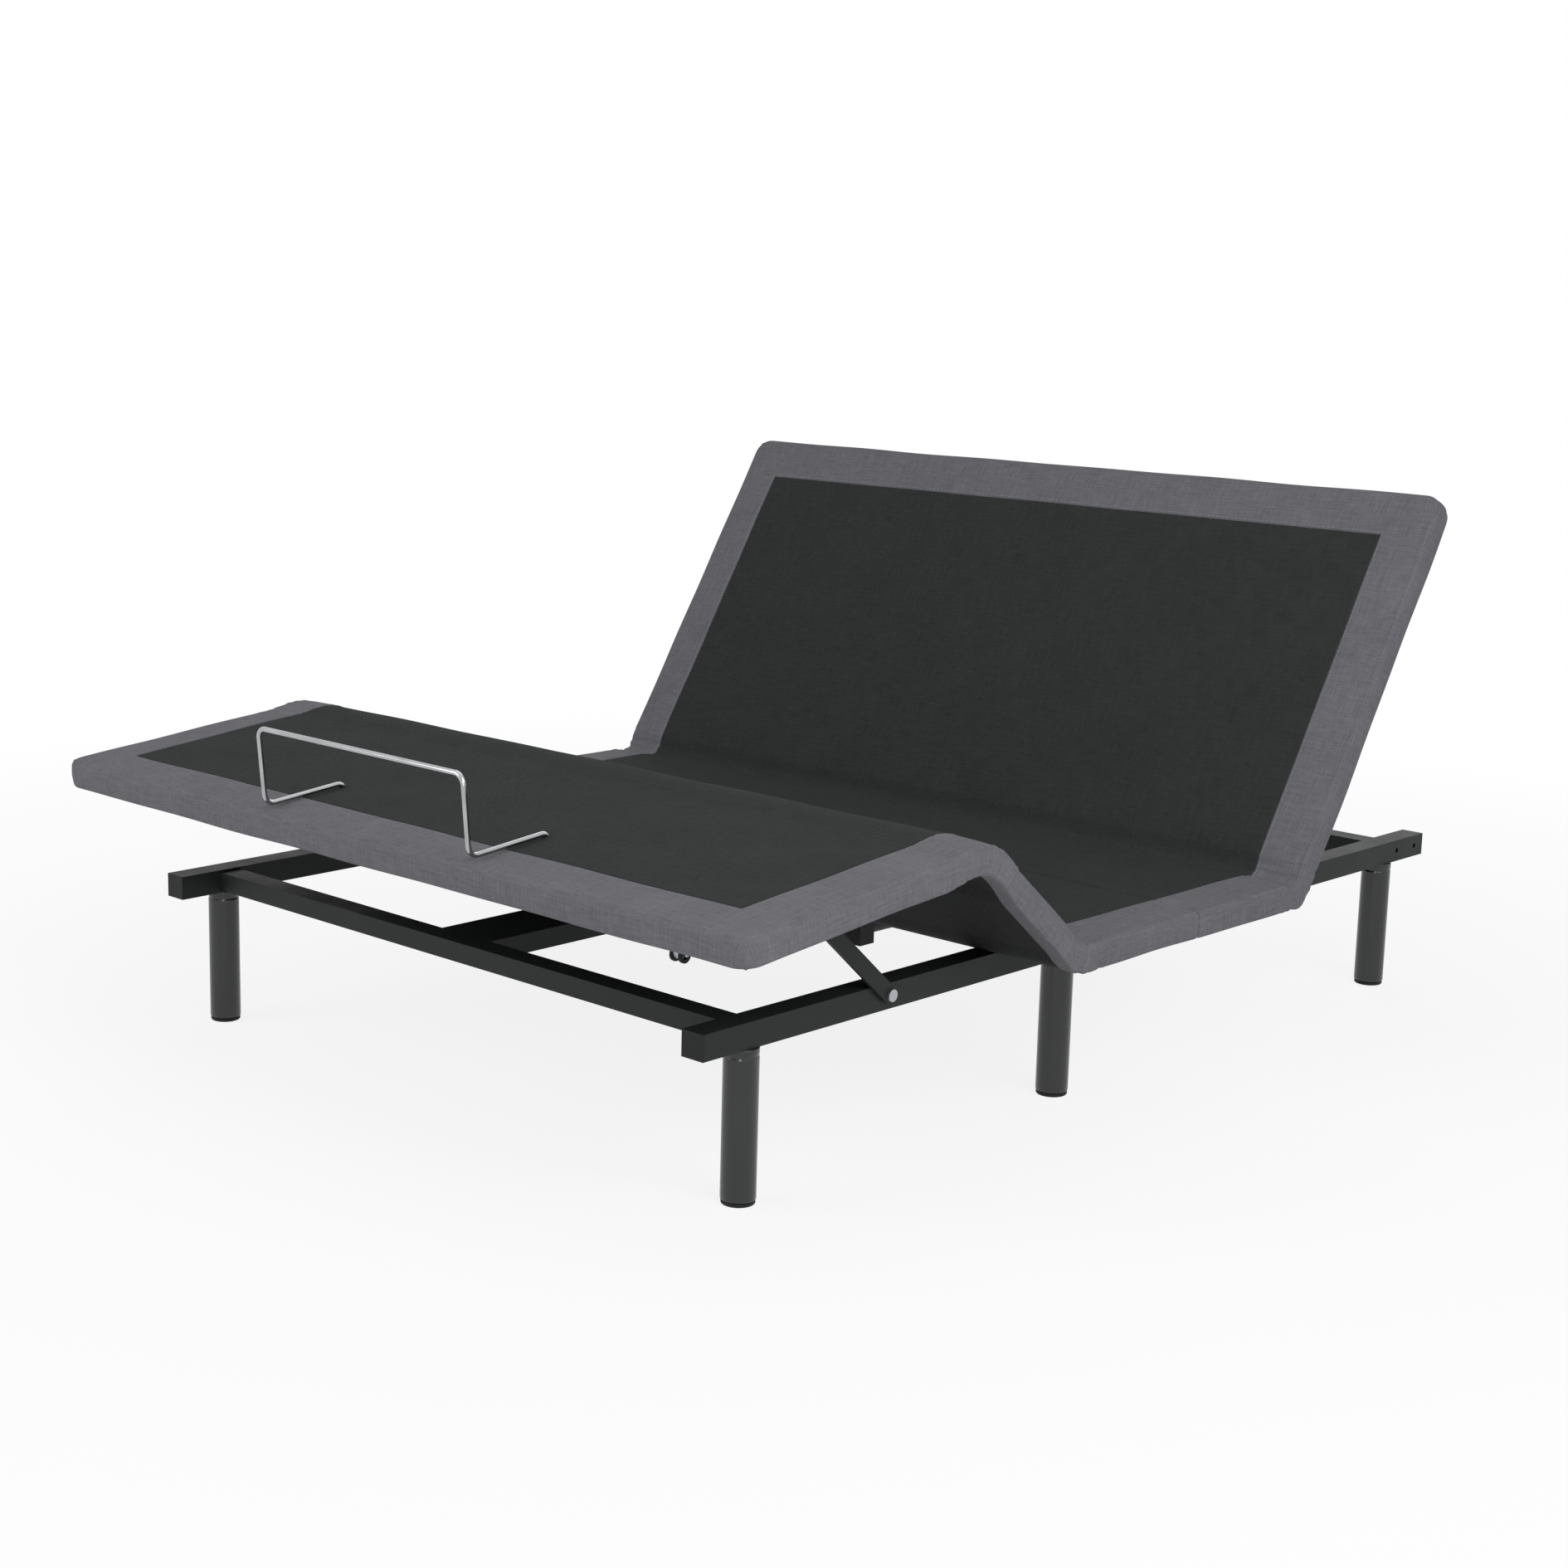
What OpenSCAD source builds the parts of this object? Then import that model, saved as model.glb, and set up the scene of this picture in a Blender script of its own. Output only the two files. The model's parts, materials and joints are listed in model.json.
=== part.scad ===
// Adjustable bed base: five hinged upholstered deck sections on a six-legged steel frame.
// X runs across the bed, Y from foot to head and Z up. The origin is on the floor under the middle.

/* [Deck] */
// Width of the deck across the bed
deck_w = 1524; // [1300:1:1850]
// Length of the foot section
foot_len = 486; // [440:1:560]
// Length of the thigh section
thigh_len = 268; // [250:1:310]
// Length of the front seat section
seat_front_len = 292; // [270:1:340]
// Length of the rear seat section
seat_rear_len = 280; // [270:1:330]
// Length of the head section
head_len = 706; // [620:1:850]
// Thickness of a section with its upholstery
deck_t = 46; // [44:1:56]
// Thickness of the board inside a section
board_t = 15; // [12:1:18]
// How far the upholstery wraps past the board's edge
wrap = 14; // [10:1:20]
// Corner radius of the deck in plan
corner_r = 55; // [40:1:70]

/* [Pose] */
// How far the head section is raised, in degrees
head_raise = 58; // [50:0.5:60]
// How far the thigh section is raised, in degrees
thigh_raise = 39.5; // [35:0.5:41]
// How far the foot section slopes down to the foot, in degrees
foot_drop = 5.5; // [4:0.5:7]

/* [Frame] */
// Height of the side rails' undersides above the floor
leg_h = 222; // [200:1:270]
// Height of the side rails
rail_h = 38; // [36:1:44]
// Width of the side rails
rail_w = 40; // [36:1:48]
// Wall of the frame tubes
wall = 2; // [1.5:0.1:3]
// Distance from the bed's middle to each rail's middle
rail_x = 586; // [500:1:640]
// Foot end of the side rails
rail_foot_y = -882; // [-940:1:-860]
// Head end of the side rails
rail_head_y = 975; // [950:1:1000]
// Distance of the foot legs towards the foot
leg_foot_y = -790; // [-820:1:-760]
// Place of the middle legs and the middle crossbar
leg_mid_y = -85; // [-100:1:-70]
// Distance of the head legs towards the head
leg_head_y = 857; // [820:1:890]
// Outer diameter of a leg
leg_d = 50; // [40:1:56]
// Height of the foot crossbar
foot_bar_h = 30; // [26:1:34]
// Width of the centre beam
beam_w = 110; // [106:1:120]
// Height of the centre beam
beam_h = 30; // [26:1:34]
// Place of the crossbar under the rear seat section
seat_bar_y = 240; // [225:1:250]

/* [Lift] */
// Height of the torque tubes' axes above the floor
lift_z = 200; // [196:1:202]
// Outer radius of a torque tube
tube_r = 16; // [14:0.5:18]
// Half the length of a torque tube
tube_half = 212; // [206:1:216]
// Length of the head lift arms
head_arm = 250; // [230:1:270]
// Length of the thigh lift arms
thigh_arm = 170; // [155:1:180]
// Distance of each lift arm from the middle
arm_x = 200; // [190:1:204]
// Radius of a lift roller
roller_r = 18; // [15:0.5:20]
// Drop from a torque tube's axis to its actuator rod
crank_drop = 65; // [58:1:70]
// Sideways place of each actuator
actuator_x = 28; // [26:1:30]

/* [Fits] */
// Radial clearance of a running fit
run_fit = 0.05; // [0.02:0.01:0.1]
// Gap between a resting part and what it rests on
rest_gap = 0.3; // [0.2:0.1:0.5]
// Half the gap between neighbouring hinged sections
seam_gap = 3; // [2.5:0.1:4]
// Sideways clearance of a rod pin in its crank slot
slot_gap = 0.9; // [0.8:0.1:1.5]
// Clearance of the link pin in the link arm's upper eye
link_gap = 3.3; // [3.1:0.1:4]

/* [Hidden] */
$fn = 64;
eps = 1;

// Heights of the deck
deck_z = leg_h + rail_h;
deck_top = deck_z + deck_t;
moving_z = deck_z + rest_gap;
hinge_depth = 12;
hinge_z = deck_top - hinge_depth;
knee_z = moving_z;

// Places of the seams, with the flat deck centred on the origin
deck_len = foot_len + thigh_len + seat_front_len + seat_rear_len + head_len;
foot_end_y = -deck_len / 2;
knee_y = foot_end_y + foot_len;
thigh_y = knee_y + thigh_len;
seat_y = thigh_y + seat_front_len;
head_y = seat_y + seat_rear_len;
head_end_y = head_y + head_len;
seat_seam = 0.5;

// Frame places
rail_in = rail_x - rail_w / 2;
rail_out = rail_x + rail_w / 2;
bar_d = 40;
beam_z = deck_z - 4 - beam_h;
cap_t = 3;
leg_wall = 2;
leg_top_t = 6;
stud_r = 5;
glide_t = 6;
glide_lip = 1;
glide_r = leg_d / 2 - leg_wall - run_fit;
headboard_bolt_r = 4.5;
headboard_bolt_pitch = 60;
headboard_bolt_y = rail_head_y - 25 - headboard_bolt_pitch / 2;

// Hinges
hinge_xs = [-450, -150, 150, 450];
leaf_w = 60;
leaf_t = 2;
leaf_h = 32;
knuckle_r = 5;
hinge_pin_r = 3;
knuckle_gap = 0.5;
pocket_r = 6.5;

// Lift mechanism
ear_t = 5;
arm_t = 8;
arm_half_w = 12;
axle_r = 6;
axle_head_r = 9;
axle_head_t = 3;
roller_w = 24;
side_gap = 0.5;
runner_t = 12;
runner_w = 36;
roller_x = arm_x - arm_t / 2 - side_gap - roller_w / 2;
roller_drop = hinge_z - (moving_z - runner_t - rest_gap - roller_r);
function arm_angle(raise, arm) =
    raise + asin(((hinge_z - lift_z) * cos(raise) - roller_drop) / arm);
head_arm_angle = arm_angle(head_raise, head_arm);
head_swing = head_arm_angle - arm_angle(0, head_arm);
thigh_arm_angle = arm_angle(thigh_raise, thigh_arm);
thigh_swing = thigh_arm_angle - arm_angle(0, thigh_arm);

// Actuators
rod_z = lift_z - crank_drop;
rod_r = 9;
rod_pin_r = 5;
rod_eye_r = 11;
rod_eye_w = 14;
rod_flat = 30;
housing_w = 40;
housing_len = 230;
housing_bore_len = 150;
lug_t = 12;
lug_r = 11;
lug_reach = 16;
rod_inside = 60;
motor_r = 22;
motor_len = 110;
gearbox_len = 36;
head_rod_y = head_y + crank_drop * tan(head_swing / 2);
head_rod_travel = 2 * crank_drop * tan(head_swing / 2);
thigh_rod_y = thigh_y - crank_drop * tan(thigh_swing / 2);
thigh_rod_travel = 2 * crank_drop * tan(thigh_swing / 2);
collar_gap = 12;
head_housing_y = head_rod_y - head_rod_travel - rod_eye_r - collar_gap;
thigh_housing_y = thigh_rod_y + thigh_rod_travel + rod_eye_r + collar_gap;
head_clevis_y = head_housing_y - housing_len - lug_reach;
thigh_clevis_y = thigh_housing_y + housing_len + lug_reach;

// Link arms that steer the foot section
link_w = 25;
link_t = 6;
link_pin_r = 5;
link_washer_t = 2;
link_x = rail_out + link_washer_t + link_t / 2;
link_base_z = deck_z - 15;
link_reach = 178;
link_hang = 48;
link_ear_t = 5;
link_flat = [knee_y - link_reach, knee_z - link_hang];
function turn(p, centre, angle) = [
    centre[0] + (p[0] - centre[0]) * cos(angle) - (p[1] - centre[1]) * sin(angle),
    centre[1] + (p[0] - centre[0]) * sin(angle) + (p[1] - centre[1]) * cos(angle)
];
knee_flat = [knee_y, knee_z];
knee_now = turn(knee_flat, [thigh_y, hinge_z], -thigh_raise);
link_top = turn(link_flat, knee_flat, foot_drop) + knee_now - knee_flat;
link_mid = (link_top + link_flat) / 2;
link_step = link_top - link_flat;
link_base_y = link_mid[0] - (link_base_z - link_mid[1]) * link_step[1] / link_step[0];
link_run = link_top - [link_base_y, link_base_z];
link_len = norm(link_run);
link_angle = atan2(link_run[1], link_run[0]);

// Mattress retainer
wire_r = 4;
retainer_half = 231;
retainer_h = 118;
retainer_back = 150;
retainer_front = foot_end_y + 14;
bend_r = 16;
wire_lift = 6;
clamp_w = 44;
clamp_t = 8;

frame_black = "#2e302f";
leg_black = "#3a3b3a";
fabric_grey = "#696a6c";
board_brown = "#3a3834";
steel = "#9a9c9e";
plastic_black = "#222324";

// A rod along X centred on x
module bar_x(r, length, x = 0) {
    translate([x - length / 2, 0, 0]) rotate([0, 90, 0]) cylinder(r = r, h = length);
}

// A plate cut from a YZ outline, centred on x
module plate_x(thickness, x = 0) {
    translate([x - thickness / 2, 0, 0]) rotate([90, 0, 90]) linear_extrude(thickness) children();
}

// A flat piece raised with the head section
module on_head() {
    translate([0, head_y, hinge_z]) rotate([head_raise, 0, 0])
        translate([0, -head_y, -hinge_z]) children();
}

// A flat piece raised with the thigh section
module on_thigh() {
    translate([0, thigh_y, hinge_z]) rotate([-thigh_raise, 0, 0])
        translate([0, -thigh_y, -hinge_z]) children();
}

// A flat piece carried by the foot section
module on_foot() {
    on_thigh() translate([0, knee_y, knee_z]) rotate([thigh_raise + foot_drop, 0, 0])
        translate([0, -knee_y, -knee_z]) children();
}

module both_sides() {
    children();
    mirror([1, 0, 0]) children();
}

// Rectangular tube along Y between two ends
module tube_y(x, low_y, high_y, z, w, h) {
    translate([x - w / 2, low_y, z]) difference() {
        cube([w, high_y - low_y, h]);
        translate([wall, -eps, wall]) cube([w - 2 * wall, high_y - low_y + 2 * eps, h - 2 * wall]);
    }
}

// Rectangular tube along X between the side rails
module crossbar(y, z, h) {
    translate([-rail_in, y - bar_d / 2, z]) difference() {
        cube([2 * rail_in, bar_d, h]);
        translate([-eps, wall, wall]) cube([2 * rail_in + 2 * eps, bar_d - 2 * wall, h - 2 * wall]);
    }
}

// Side rail with its stud holes and the headboard bolt holes
module rail() {
    difference() {
        tube_y(rail_x, rail_foot_y, rail_head_y, leg_h, rail_w, rail_h);
        for (y = [leg_foot_y, leg_mid_y, leg_head_y])
            translate([rail_x, y, leg_h - eps]) cylinder(r = stud_r + run_fit, h = wall + 2 * eps);
        for (side = [-1, 1])
            translate([0, headboard_bolt_y + side * headboard_bolt_pitch / 2, leg_h + rail_h / 2])
                bar_x(headboard_bolt_r, rail_w + 2 * eps, rail_x);
        translate([0, link_base_y, link_base_z])
            bar_x(link_pin_r + run_fit, rail_w + 2 * eps, rail_x);
    }
}

module leg(x, y) {
    translate([x, y, 0]) difference() {
        translate([0, 0, glide_t]) cylinder(d = leg_d, h = leg_h - glide_t);
        translate([0, 0, glide_t - eps])
            cylinder(r = leg_d / 2 - leg_wall, h = leg_h - glide_t - leg_top_t + eps);
        cylinder(r = stud_r + run_fit, h = leg_h + eps);
    }
}

module at_legs() {
    for (x = [-rail_x, rail_x], y = [leg_foot_y, leg_mid_y, leg_head_y])
        translate([x, y, 0]) children();
}

// Plan outline of a section, rounded by r at its foot end and its head end
module plan(low_y, high_y, half_w, low_r, high_r) {
    translate([-half_w, low_y + low_r]) square([2 * half_w, high_y - low_y - low_r - high_r]);
    for (end = [[low_y, low_r, 1], [high_y, high_r, -1]])
        if (end[1] > 0) {
            translate([end[1] - half_w, min(end[0], end[0] + end[2] * (end[1] + eps))])
                square([2 * (half_w - end[1]), end[1] + eps]);
            for (side = [-1, 1])
                translate([side * (half_w - end[1]), end[0] + end[2] * end[1]]) circle(r = end[1]);
        }
}

// Side outline of a section, with its ends bevelled back above the hinge where a seam folds upwards
module section_side(low_y, high_y, low_bevel, high_bevel, z) {
    polygon([
        [low_y, z], [high_y, z], [high_y, hinge_z],
        [high_y - high_bevel, deck_top], [low_y + low_bevel, deck_top], [low_y, hinge_z]
    ]);
}

bevel_spare = 1.5;
function bevel(angle) = hinge_depth * tan(angle / 2 + bevel_spare);

// Room for the hinge barrels along a seam
module hinge_pockets(y, z) {
    for (x = hinge_xs) translate([0, y, z]) bar_x(pocket_r, leaf_w + 2, x);
}

// A section's board, flush with its neighbours' seams and inset from the free edges
module board(low_y, high_y, low_free, high_free, z) {
    low = low_y + (low_free ? wrap : 0);
    high = high_y - (high_free ? wrap : 0);
    translate([0, 0, z]) linear_extrude(board_t)
        plan(low, high, deck_w / 2 - wrap, low_free ? corner_r - wrap : 0, high_free ? corner_r - wrap : 0);
}

// A section's upholstery around its board
module pad(low_y, high_y, low_free, high_free, low_bevel, high_bevel, z) {
    difference() {
        intersection() {
            plate_x(deck_w + 2) section_side(low_y, high_y, low_bevel, high_bevel, z);
            translate([0, 0, z - eps]) linear_extrude(deck_top - z + 2 * eps)
                plan(low_y, high_y, deck_w / 2, low_free ? corner_r : 0, high_free ? corner_r : 0);
        }
        translate([0, 0, z - eps]) linear_extrude(board_t + eps) plan(
            low_y + (low_free ? wrap : -eps), high_y - (high_free ? wrap : -eps), deck_w / 2 - wrap,
            low_free ? corner_r - wrap : 0, high_free ? corner_r - wrap : 0
        );
    }
}

// Hinge leaf with its own knuckles: side is the leaf's side of the seam, up its direction in Z
module leaves(side, up, inner, bore) {
    for (x = hinge_xs) translate([x, 0, 0]) difference() {
        union() {
            leaf_low = up > 0 ? pocket_r : -leaf_h;
            translate([-leaf_w / 2, side > 0 ? seam_gap - leaf_t : -seam_gap, leaf_low])
                cube([leaf_w, leaf_t, leaf_h - pocket_r]);
            for (k = inner ? [0] : [-1, 1]) {
                knuckle_w = leaf_w / 3 - knuckle_gap;
                bar_x(knuckle_r, knuckle_w, k * leaf_w / 3);
                tab_low = up > 0 ? 0 : -pocket_r - eps;
                translate([k * leaf_w / 3 - knuckle_w / 2, side > 0 ? seam_gap - leaf_t : -seam_gap, tab_low])
                    cube([knuckle_w, leaf_t, pocket_r + eps]);
            }
            if (!bore) bar_x(hinge_pin_r, leaf_w - knuckle_gap);
        }
        if (bore) bar_x(hinge_pin_r + run_fit, leaf_w);
    }
}

// Torque tube with the slotted crank that an actuator rod drives
module torque_tube(crank_angle, crank_x) {
    bar_x(tube_r, 2 * tube_half);
    slot_far = crank_drop / cos(max(head_swing, thigh_swing) / 2);
    slot_half = rod_pin_r + slot_gap;
    for (side = [-1, 1])
        plate_x(ear_t, crank_x + side * (rod_eye_w / 2 + side_gap + ear_t / 2))
            rotate(crank_angle) difference() {
                union() {
                    circle(r = tube_r + 6);
                    translate([0, -slot_half - 7]) square([slot_far, 2 * slot_half + 14]);
                    translate([slot_far, 0]) circle(r = slot_half + 7);
                }
                for (reach = [crank_drop - slot_gap, slot_far + slot_gap])
                    translate([reach, 0]) circle(r = slot_half);
                translate([crank_drop - slot_gap, -slot_half])
                    square([slot_far - crank_drop + 2 * slot_gap, 2 * slot_half]);
            }
}

// Lift arm with its roller axle, at angle from the +Y axis; dir is -1 for one that points to the foot
module lift_arm(length, angle, dir) {
    mirror([0, dir > 0 ? 0 : 1, 0]) rotate([angle, 0, 0]) {
        difference() {
            plate_x(arm_t, arm_x) union() {
                circle(r = tube_r + 7);
                translate([0, -arm_half_w]) square([length, 2 * arm_half_w]);
                translate([length, 0]) circle(r = arm_half_w);
            }
            bar_x(tube_r + run_fit, arm_t + 2 * eps, arm_x);
        }
        translate([0, length, 0]) {
            bar_x(axle_r, roller_w + 2 * side_gap + eps, roller_x + eps / 2);
            bar_x(axle_head_r, axle_head_t, roller_x - roller_w / 2 - side_gap - axle_head_t / 2);
        }
    }
}

// Roller of a lift arm
module lift_roller(length, angle, dir, side) {
    mirror([0, dir > 0 ? 0 : 1, 0]) rotate([angle, 0, 0]) translate([0, length, 0]) difference() {
        bar_x(roller_r, roller_w, side * roller_x);
        bar_x(axle_r + run_fit, roller_w + 2 * eps, side * roller_x);
    }
}

// Plates that carry a torque tube under the centre beam
module hangers() {
    difference() {
        for (side = [-1, 1]) plate_x(ear_t, side * (beam_w / 2 + ear_t / 2)) {
            circle(r = tube_r + 12);
            translate([-tube_r - 12, 0]) square([2 * tube_r + 24, beam_z + beam_h - 4 - lift_z]);
        }
        bar_x(tube_r + run_fit, beam_w + 2 * ear_t + 2 * eps);
    }
}

// Actuator column seen along its rod, which leaves at y = 0 towards +Y
module actuator_housing() {
    difference() {
        union() {
            translate([-housing_w / 2, -housing_len, -housing_w / 2])
                cube([housing_w, housing_len - 8, housing_w]);
            rotate([90, 0, 0]) cylinder(r = rod_r + 7, h = 10);
            plate_x(lug_t) union() {
                translate([-housing_len - lug_reach, -lug_r]) square([lug_reach + eps, 2 * lug_r]);
                translate([-housing_len - lug_reach, 0]) circle(r = lug_r);
            }
        }
        translate([0, eps, 0]) rotate([90, 0, 0])
            cylinder(r = rod_r + run_fit, h = housing_bore_len);
        translate([0, -housing_len - lug_reach, 0]) bar_x(rod_pin_r + run_fit, lug_t + 2 * eps);
    }
}

// Actuator rod with its eye and cross pin at y = 0, running back towards -Y
module actuator_rod(travel) {
    rod_len = rod_eye_r + collar_gap + travel + rod_inside;
    difference() {
        rotate([90, 0, 0]) cylinder(r = rod_r, h = rod_len);
        for (side = [-1, 1]) translate([side * (rod_eye_w / 2 + rod_r), 0, 0])
            cube([2 * rod_r, 2 * rod_flat, 3 * rod_r], center = true);
    }
    bar_x(rod_eye_r, rod_eye_w);
    bar_x(rod_pin_r, rod_eye_w + 2 * side_gap + 2 * ear_t + 6);
}

// Rear clevis and pin that hold an actuator's lug below the centre beam
module actuator_bracket() {
    drop = beam_z - rod_z;
    for (side = [-1, 1]) plate_x(ear_t, side * (lug_t / 2 + side_gap + ear_t / 2)) {
        circle(r = lug_r + 2);
        translate([-lug_r - 2, 0]) square([2 * lug_r + 4, drop]);
    }
    translate([-lug_t / 2 - side_gap - eps, -lug_r - 2, drop - 4])
        cube([lug_t + 2 * side_gap + 2 * eps, 2 * lug_r + 4, 4]);
    bar_x(rod_pin_r, lug_t + 2 * side_gap + 2 * ear_t + 6);
}

// Motor and gearbox beside an actuator column; dir is the side of the column in X
module motor(dir) {
    motor_x = dir * (housing_w / 2 + motor_r + 3);
    translate([dir > 0 ? housing_w / 2 : motor_x - motor_r, -housing_len, -housing_w / 2])
        cube([2 * motor_r + 3, gearbox_len, housing_w + 12]);
    translate([motor_x, -housing_len + gearbox_len - eps, 12])
        rotate([-90, 0, 0]) cylinder(r = motor_r - 2, h = motor_len);
}

// One side of the mattress retainer: foot wire, upright and half of the top wire
module retainer_half_wire() {
    wire_z = deck_top + wire_lift;
    back_y = retainer_front + retainer_back;
    translate([retainer_half, back_y, 0]) {
        translate([0, 0, moving_z - clamp_t - 6]) cylinder(r = wire_r, h = wire_z - bend_r - moving_z + clamp_t + 6);
        translate([0, -bend_r, wire_z - bend_r]) rotate([90, 0, 90])
            rotate_extrude(angle = 90) translate([bend_r, 0]) circle(r = wire_r);
    }
    translate([retainer_half, retainer_front + bend_r, wire_z]) rotate([-90, 0, 0])
        cylinder(r = wire_r, h = retainer_back - 2 * bend_r);
    translate([retainer_half, retainer_front + bend_r, wire_z + bend_r]) rotate([90, 0, 90])
        rotate([0, 0, 180]) rotate_extrude(angle = 90) translate([bend_r, 0]) circle(r = wire_r);
    translate([retainer_half, retainer_front, wire_z + bend_r])
        cylinder(r = wire_r, h = retainer_h - 2 * bend_r);
    translate([retainer_half - bend_r, retainer_front, wire_z + retainer_h - bend_r])
        rotate([90, 0, 0]) rotate_extrude(angle = 90) translate([bend_r, 0]) circle(r = wire_r);
    translate([0, retainer_front, wire_z + retainer_h]) rotate([0, 90, 0])
        cylinder(r = wire_r, h = retainer_half - bend_r);
}

// Holes for the retainer's feet
module retainer_holes() {
    for (side = [-1, 1])
        translate([side * retainer_half, retainer_front + retainer_back, moving_z - eps])
            cylinder(r = wire_r + rest_gap, h = deck_t + 2 * eps);
}

// Slots in the upholstery for the bends above those holes
module retainer_slots() {
    half = wire_r + rest_gap;
    for (side = [-1, 1])
        translate([side * retainer_half - half, retainer_front + retainer_back - bend_r, deck_top - bend_r])
            cube([2 * half, bend_r, bend_r + eps]);
}

module right_rail() { color(frame_black) rail(); }
module left_rail() { color(frame_black) mirror([1, 0, 0]) rail(); }

module rail_end_caps() {
    color(plastic_black) both_sides()
        for (end = [[rail_foot_y, -1], [rail_head_y, 1]]) {
            translate([rail_x - rail_w / 2, end[1] > 0 ? end[0] : end[0] - cap_t, leg_h])
                cube([rail_w, cap_t, rail_h]);
            translate([rail_x - rail_w / 2 + wall + run_fit, end[0] - (end[1] > 0 ? 15 : 0), leg_h + wall + run_fit])
                cube([rail_w - 2 * wall - 2 * run_fit, 15, rail_h - 2 * wall - 2 * run_fit]);
        }
}

module foot_crossbar() { color(frame_black) crossbar(leg_foot_y, beam_z, foot_bar_h); }
module mid_crossbar() { color(frame_black) crossbar(leg_mid_y, leg_h, rail_h); }
module seat_crossbar() { color(frame_black) crossbar(seat_bar_y, leg_h, rail_h); }
module head_crossbar() { color(frame_black) crossbar(leg_head_y, leg_h, rail_h); }

module foot_centre_beam() {
    color(frame_black) tube_y(0, leg_foot_y + bar_d / 2, leg_mid_y - bar_d / 2, beam_z, beam_w, beam_h);
}
module seat_centre_beam() {
    color(frame_black) tube_y(0, leg_mid_y + bar_d / 2, seat_bar_y - bar_d / 2, beam_z, beam_w, beam_h);
}
module head_centre_beam() {
    color(frame_black) tube_y(0, seat_bar_y + bar_d / 2, leg_head_y - bar_d / 2, beam_z, beam_w, beam_h);
}

module leg_foot_right() { color(leg_black) leg(rail_x, leg_foot_y); }
module leg_foot_left() { color(leg_black) leg(-rail_x, leg_foot_y); }
module leg_mid_right() { color(leg_black) leg(rail_x, leg_mid_y); }
module leg_mid_left() { color(leg_black) leg(-rail_x, leg_mid_y); }
module leg_head_right() { color(leg_black) leg(rail_x, leg_head_y); }
module leg_head_left() { color(leg_black) leg(-rail_x, leg_head_y); }

module leg_studs() {
    color(steel) at_legs() translate([0, 0, leg_h - 14]) {
        cylinder(r = stud_r, h = 24);
        cylinder(r = stud_r + 4, h = 14 - leg_top_t);
        translate([0, 0, 14 + wall]) cylinder(r = stud_r + 4, h = 8);
    }
}

module leg_glides() {
    color(plastic_black) at_legs() {
        cylinder(d = leg_d - 2 * glide_lip, h = glide_t);
        cylinder(r = glide_r, h = glide_t + 20);
    }
}

module foot_board() {
    color(board_brown) on_foot() difference() {
        board(foot_end_y, knee_y - seam_gap, true, false, moving_z);
        hinge_pockets(knee_y, knee_z);
        retainer_holes();
    }
}
module thigh_board() {
    color(board_brown) on_thigh() difference() {
        board(knee_y + seam_gap, thigh_y - seam_gap, false, false, moving_z);
        hinge_pockets(knee_y, knee_z);
    }
}
module seat_front_board() {
    color(board_brown) board(thigh_y + seam_gap, seat_y - seat_seam, false, false, deck_z);
}
module seat_rear_board() {
    color(board_brown) board(seat_y + seat_seam, head_y - seam_gap, false, false, deck_z);
}
module head_board() {
    color(board_brown) on_head() board(head_y + seam_gap, head_end_y, false, true, moving_z);
}

module foot_pad() {
    color(fabric_grey) on_foot() difference() {
        pad(foot_end_y, knee_y - seam_gap, true, false, 0, 0, moving_z);
        hinge_pockets(knee_y, knee_z);
        retainer_holes();
        retainer_slots();
    }
}
module thigh_pad() {
    color(fabric_grey) on_thigh() difference() {
        pad(knee_y + seam_gap, thigh_y - seam_gap, false, false, 0, bevel(thigh_raise), moving_z);
        hinge_pockets(thigh_y, hinge_z);
        hinge_pockets(knee_y, knee_z);
    }
}
module seat_front_pad() {
    color(fabric_grey) difference() {
        pad(thigh_y + seam_gap, seat_y - seat_seam, false, false, bevel(thigh_raise), 0, deck_z);
        hinge_pockets(thigh_y, hinge_z);
    }
}
module seat_rear_pad() {
    color(fabric_grey) difference() {
        pad(seat_y + seat_seam, head_y - seam_gap, false, false, 0, bevel(head_raise), deck_z);
        hinge_pockets(head_y, hinge_z);
    }
}
module head_pad() {
    color(fabric_grey) on_head() difference() {
        pad(head_y + seam_gap, head_end_y, false, true, bevel(head_raise), 0, moving_z);
        hinge_pockets(head_y, hinge_z);
    }
}

module head_hinge_seat_leaves() {
    color(steel) translate([0, head_y, hinge_z]) leaves(-1, -1, false, false);
}
module head_hinge_head_leaves() {
    color(steel) on_head() translate([0, head_y, hinge_z]) leaves(1, -1, true, true);
}
module seat_hinge_seat_leaves() {
    color(steel) translate([0, thigh_y, hinge_z]) leaves(1, -1, false, false);
}
module seat_hinge_thigh_leaves() {
    color(steel) on_thigh() translate([0, thigh_y, hinge_z]) leaves(-1, -1, true, true);
}
module knee_hinge_thigh_leaves() {
    color(steel) on_thigh() translate([0, knee_y, knee_z]) leaves(1, 1, false, false);
}
module knee_hinge_foot_leaves() {
    color(steel) on_foot() translate([0, knee_y, knee_z]) leaves(-1, 1, true, true);
}

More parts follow.
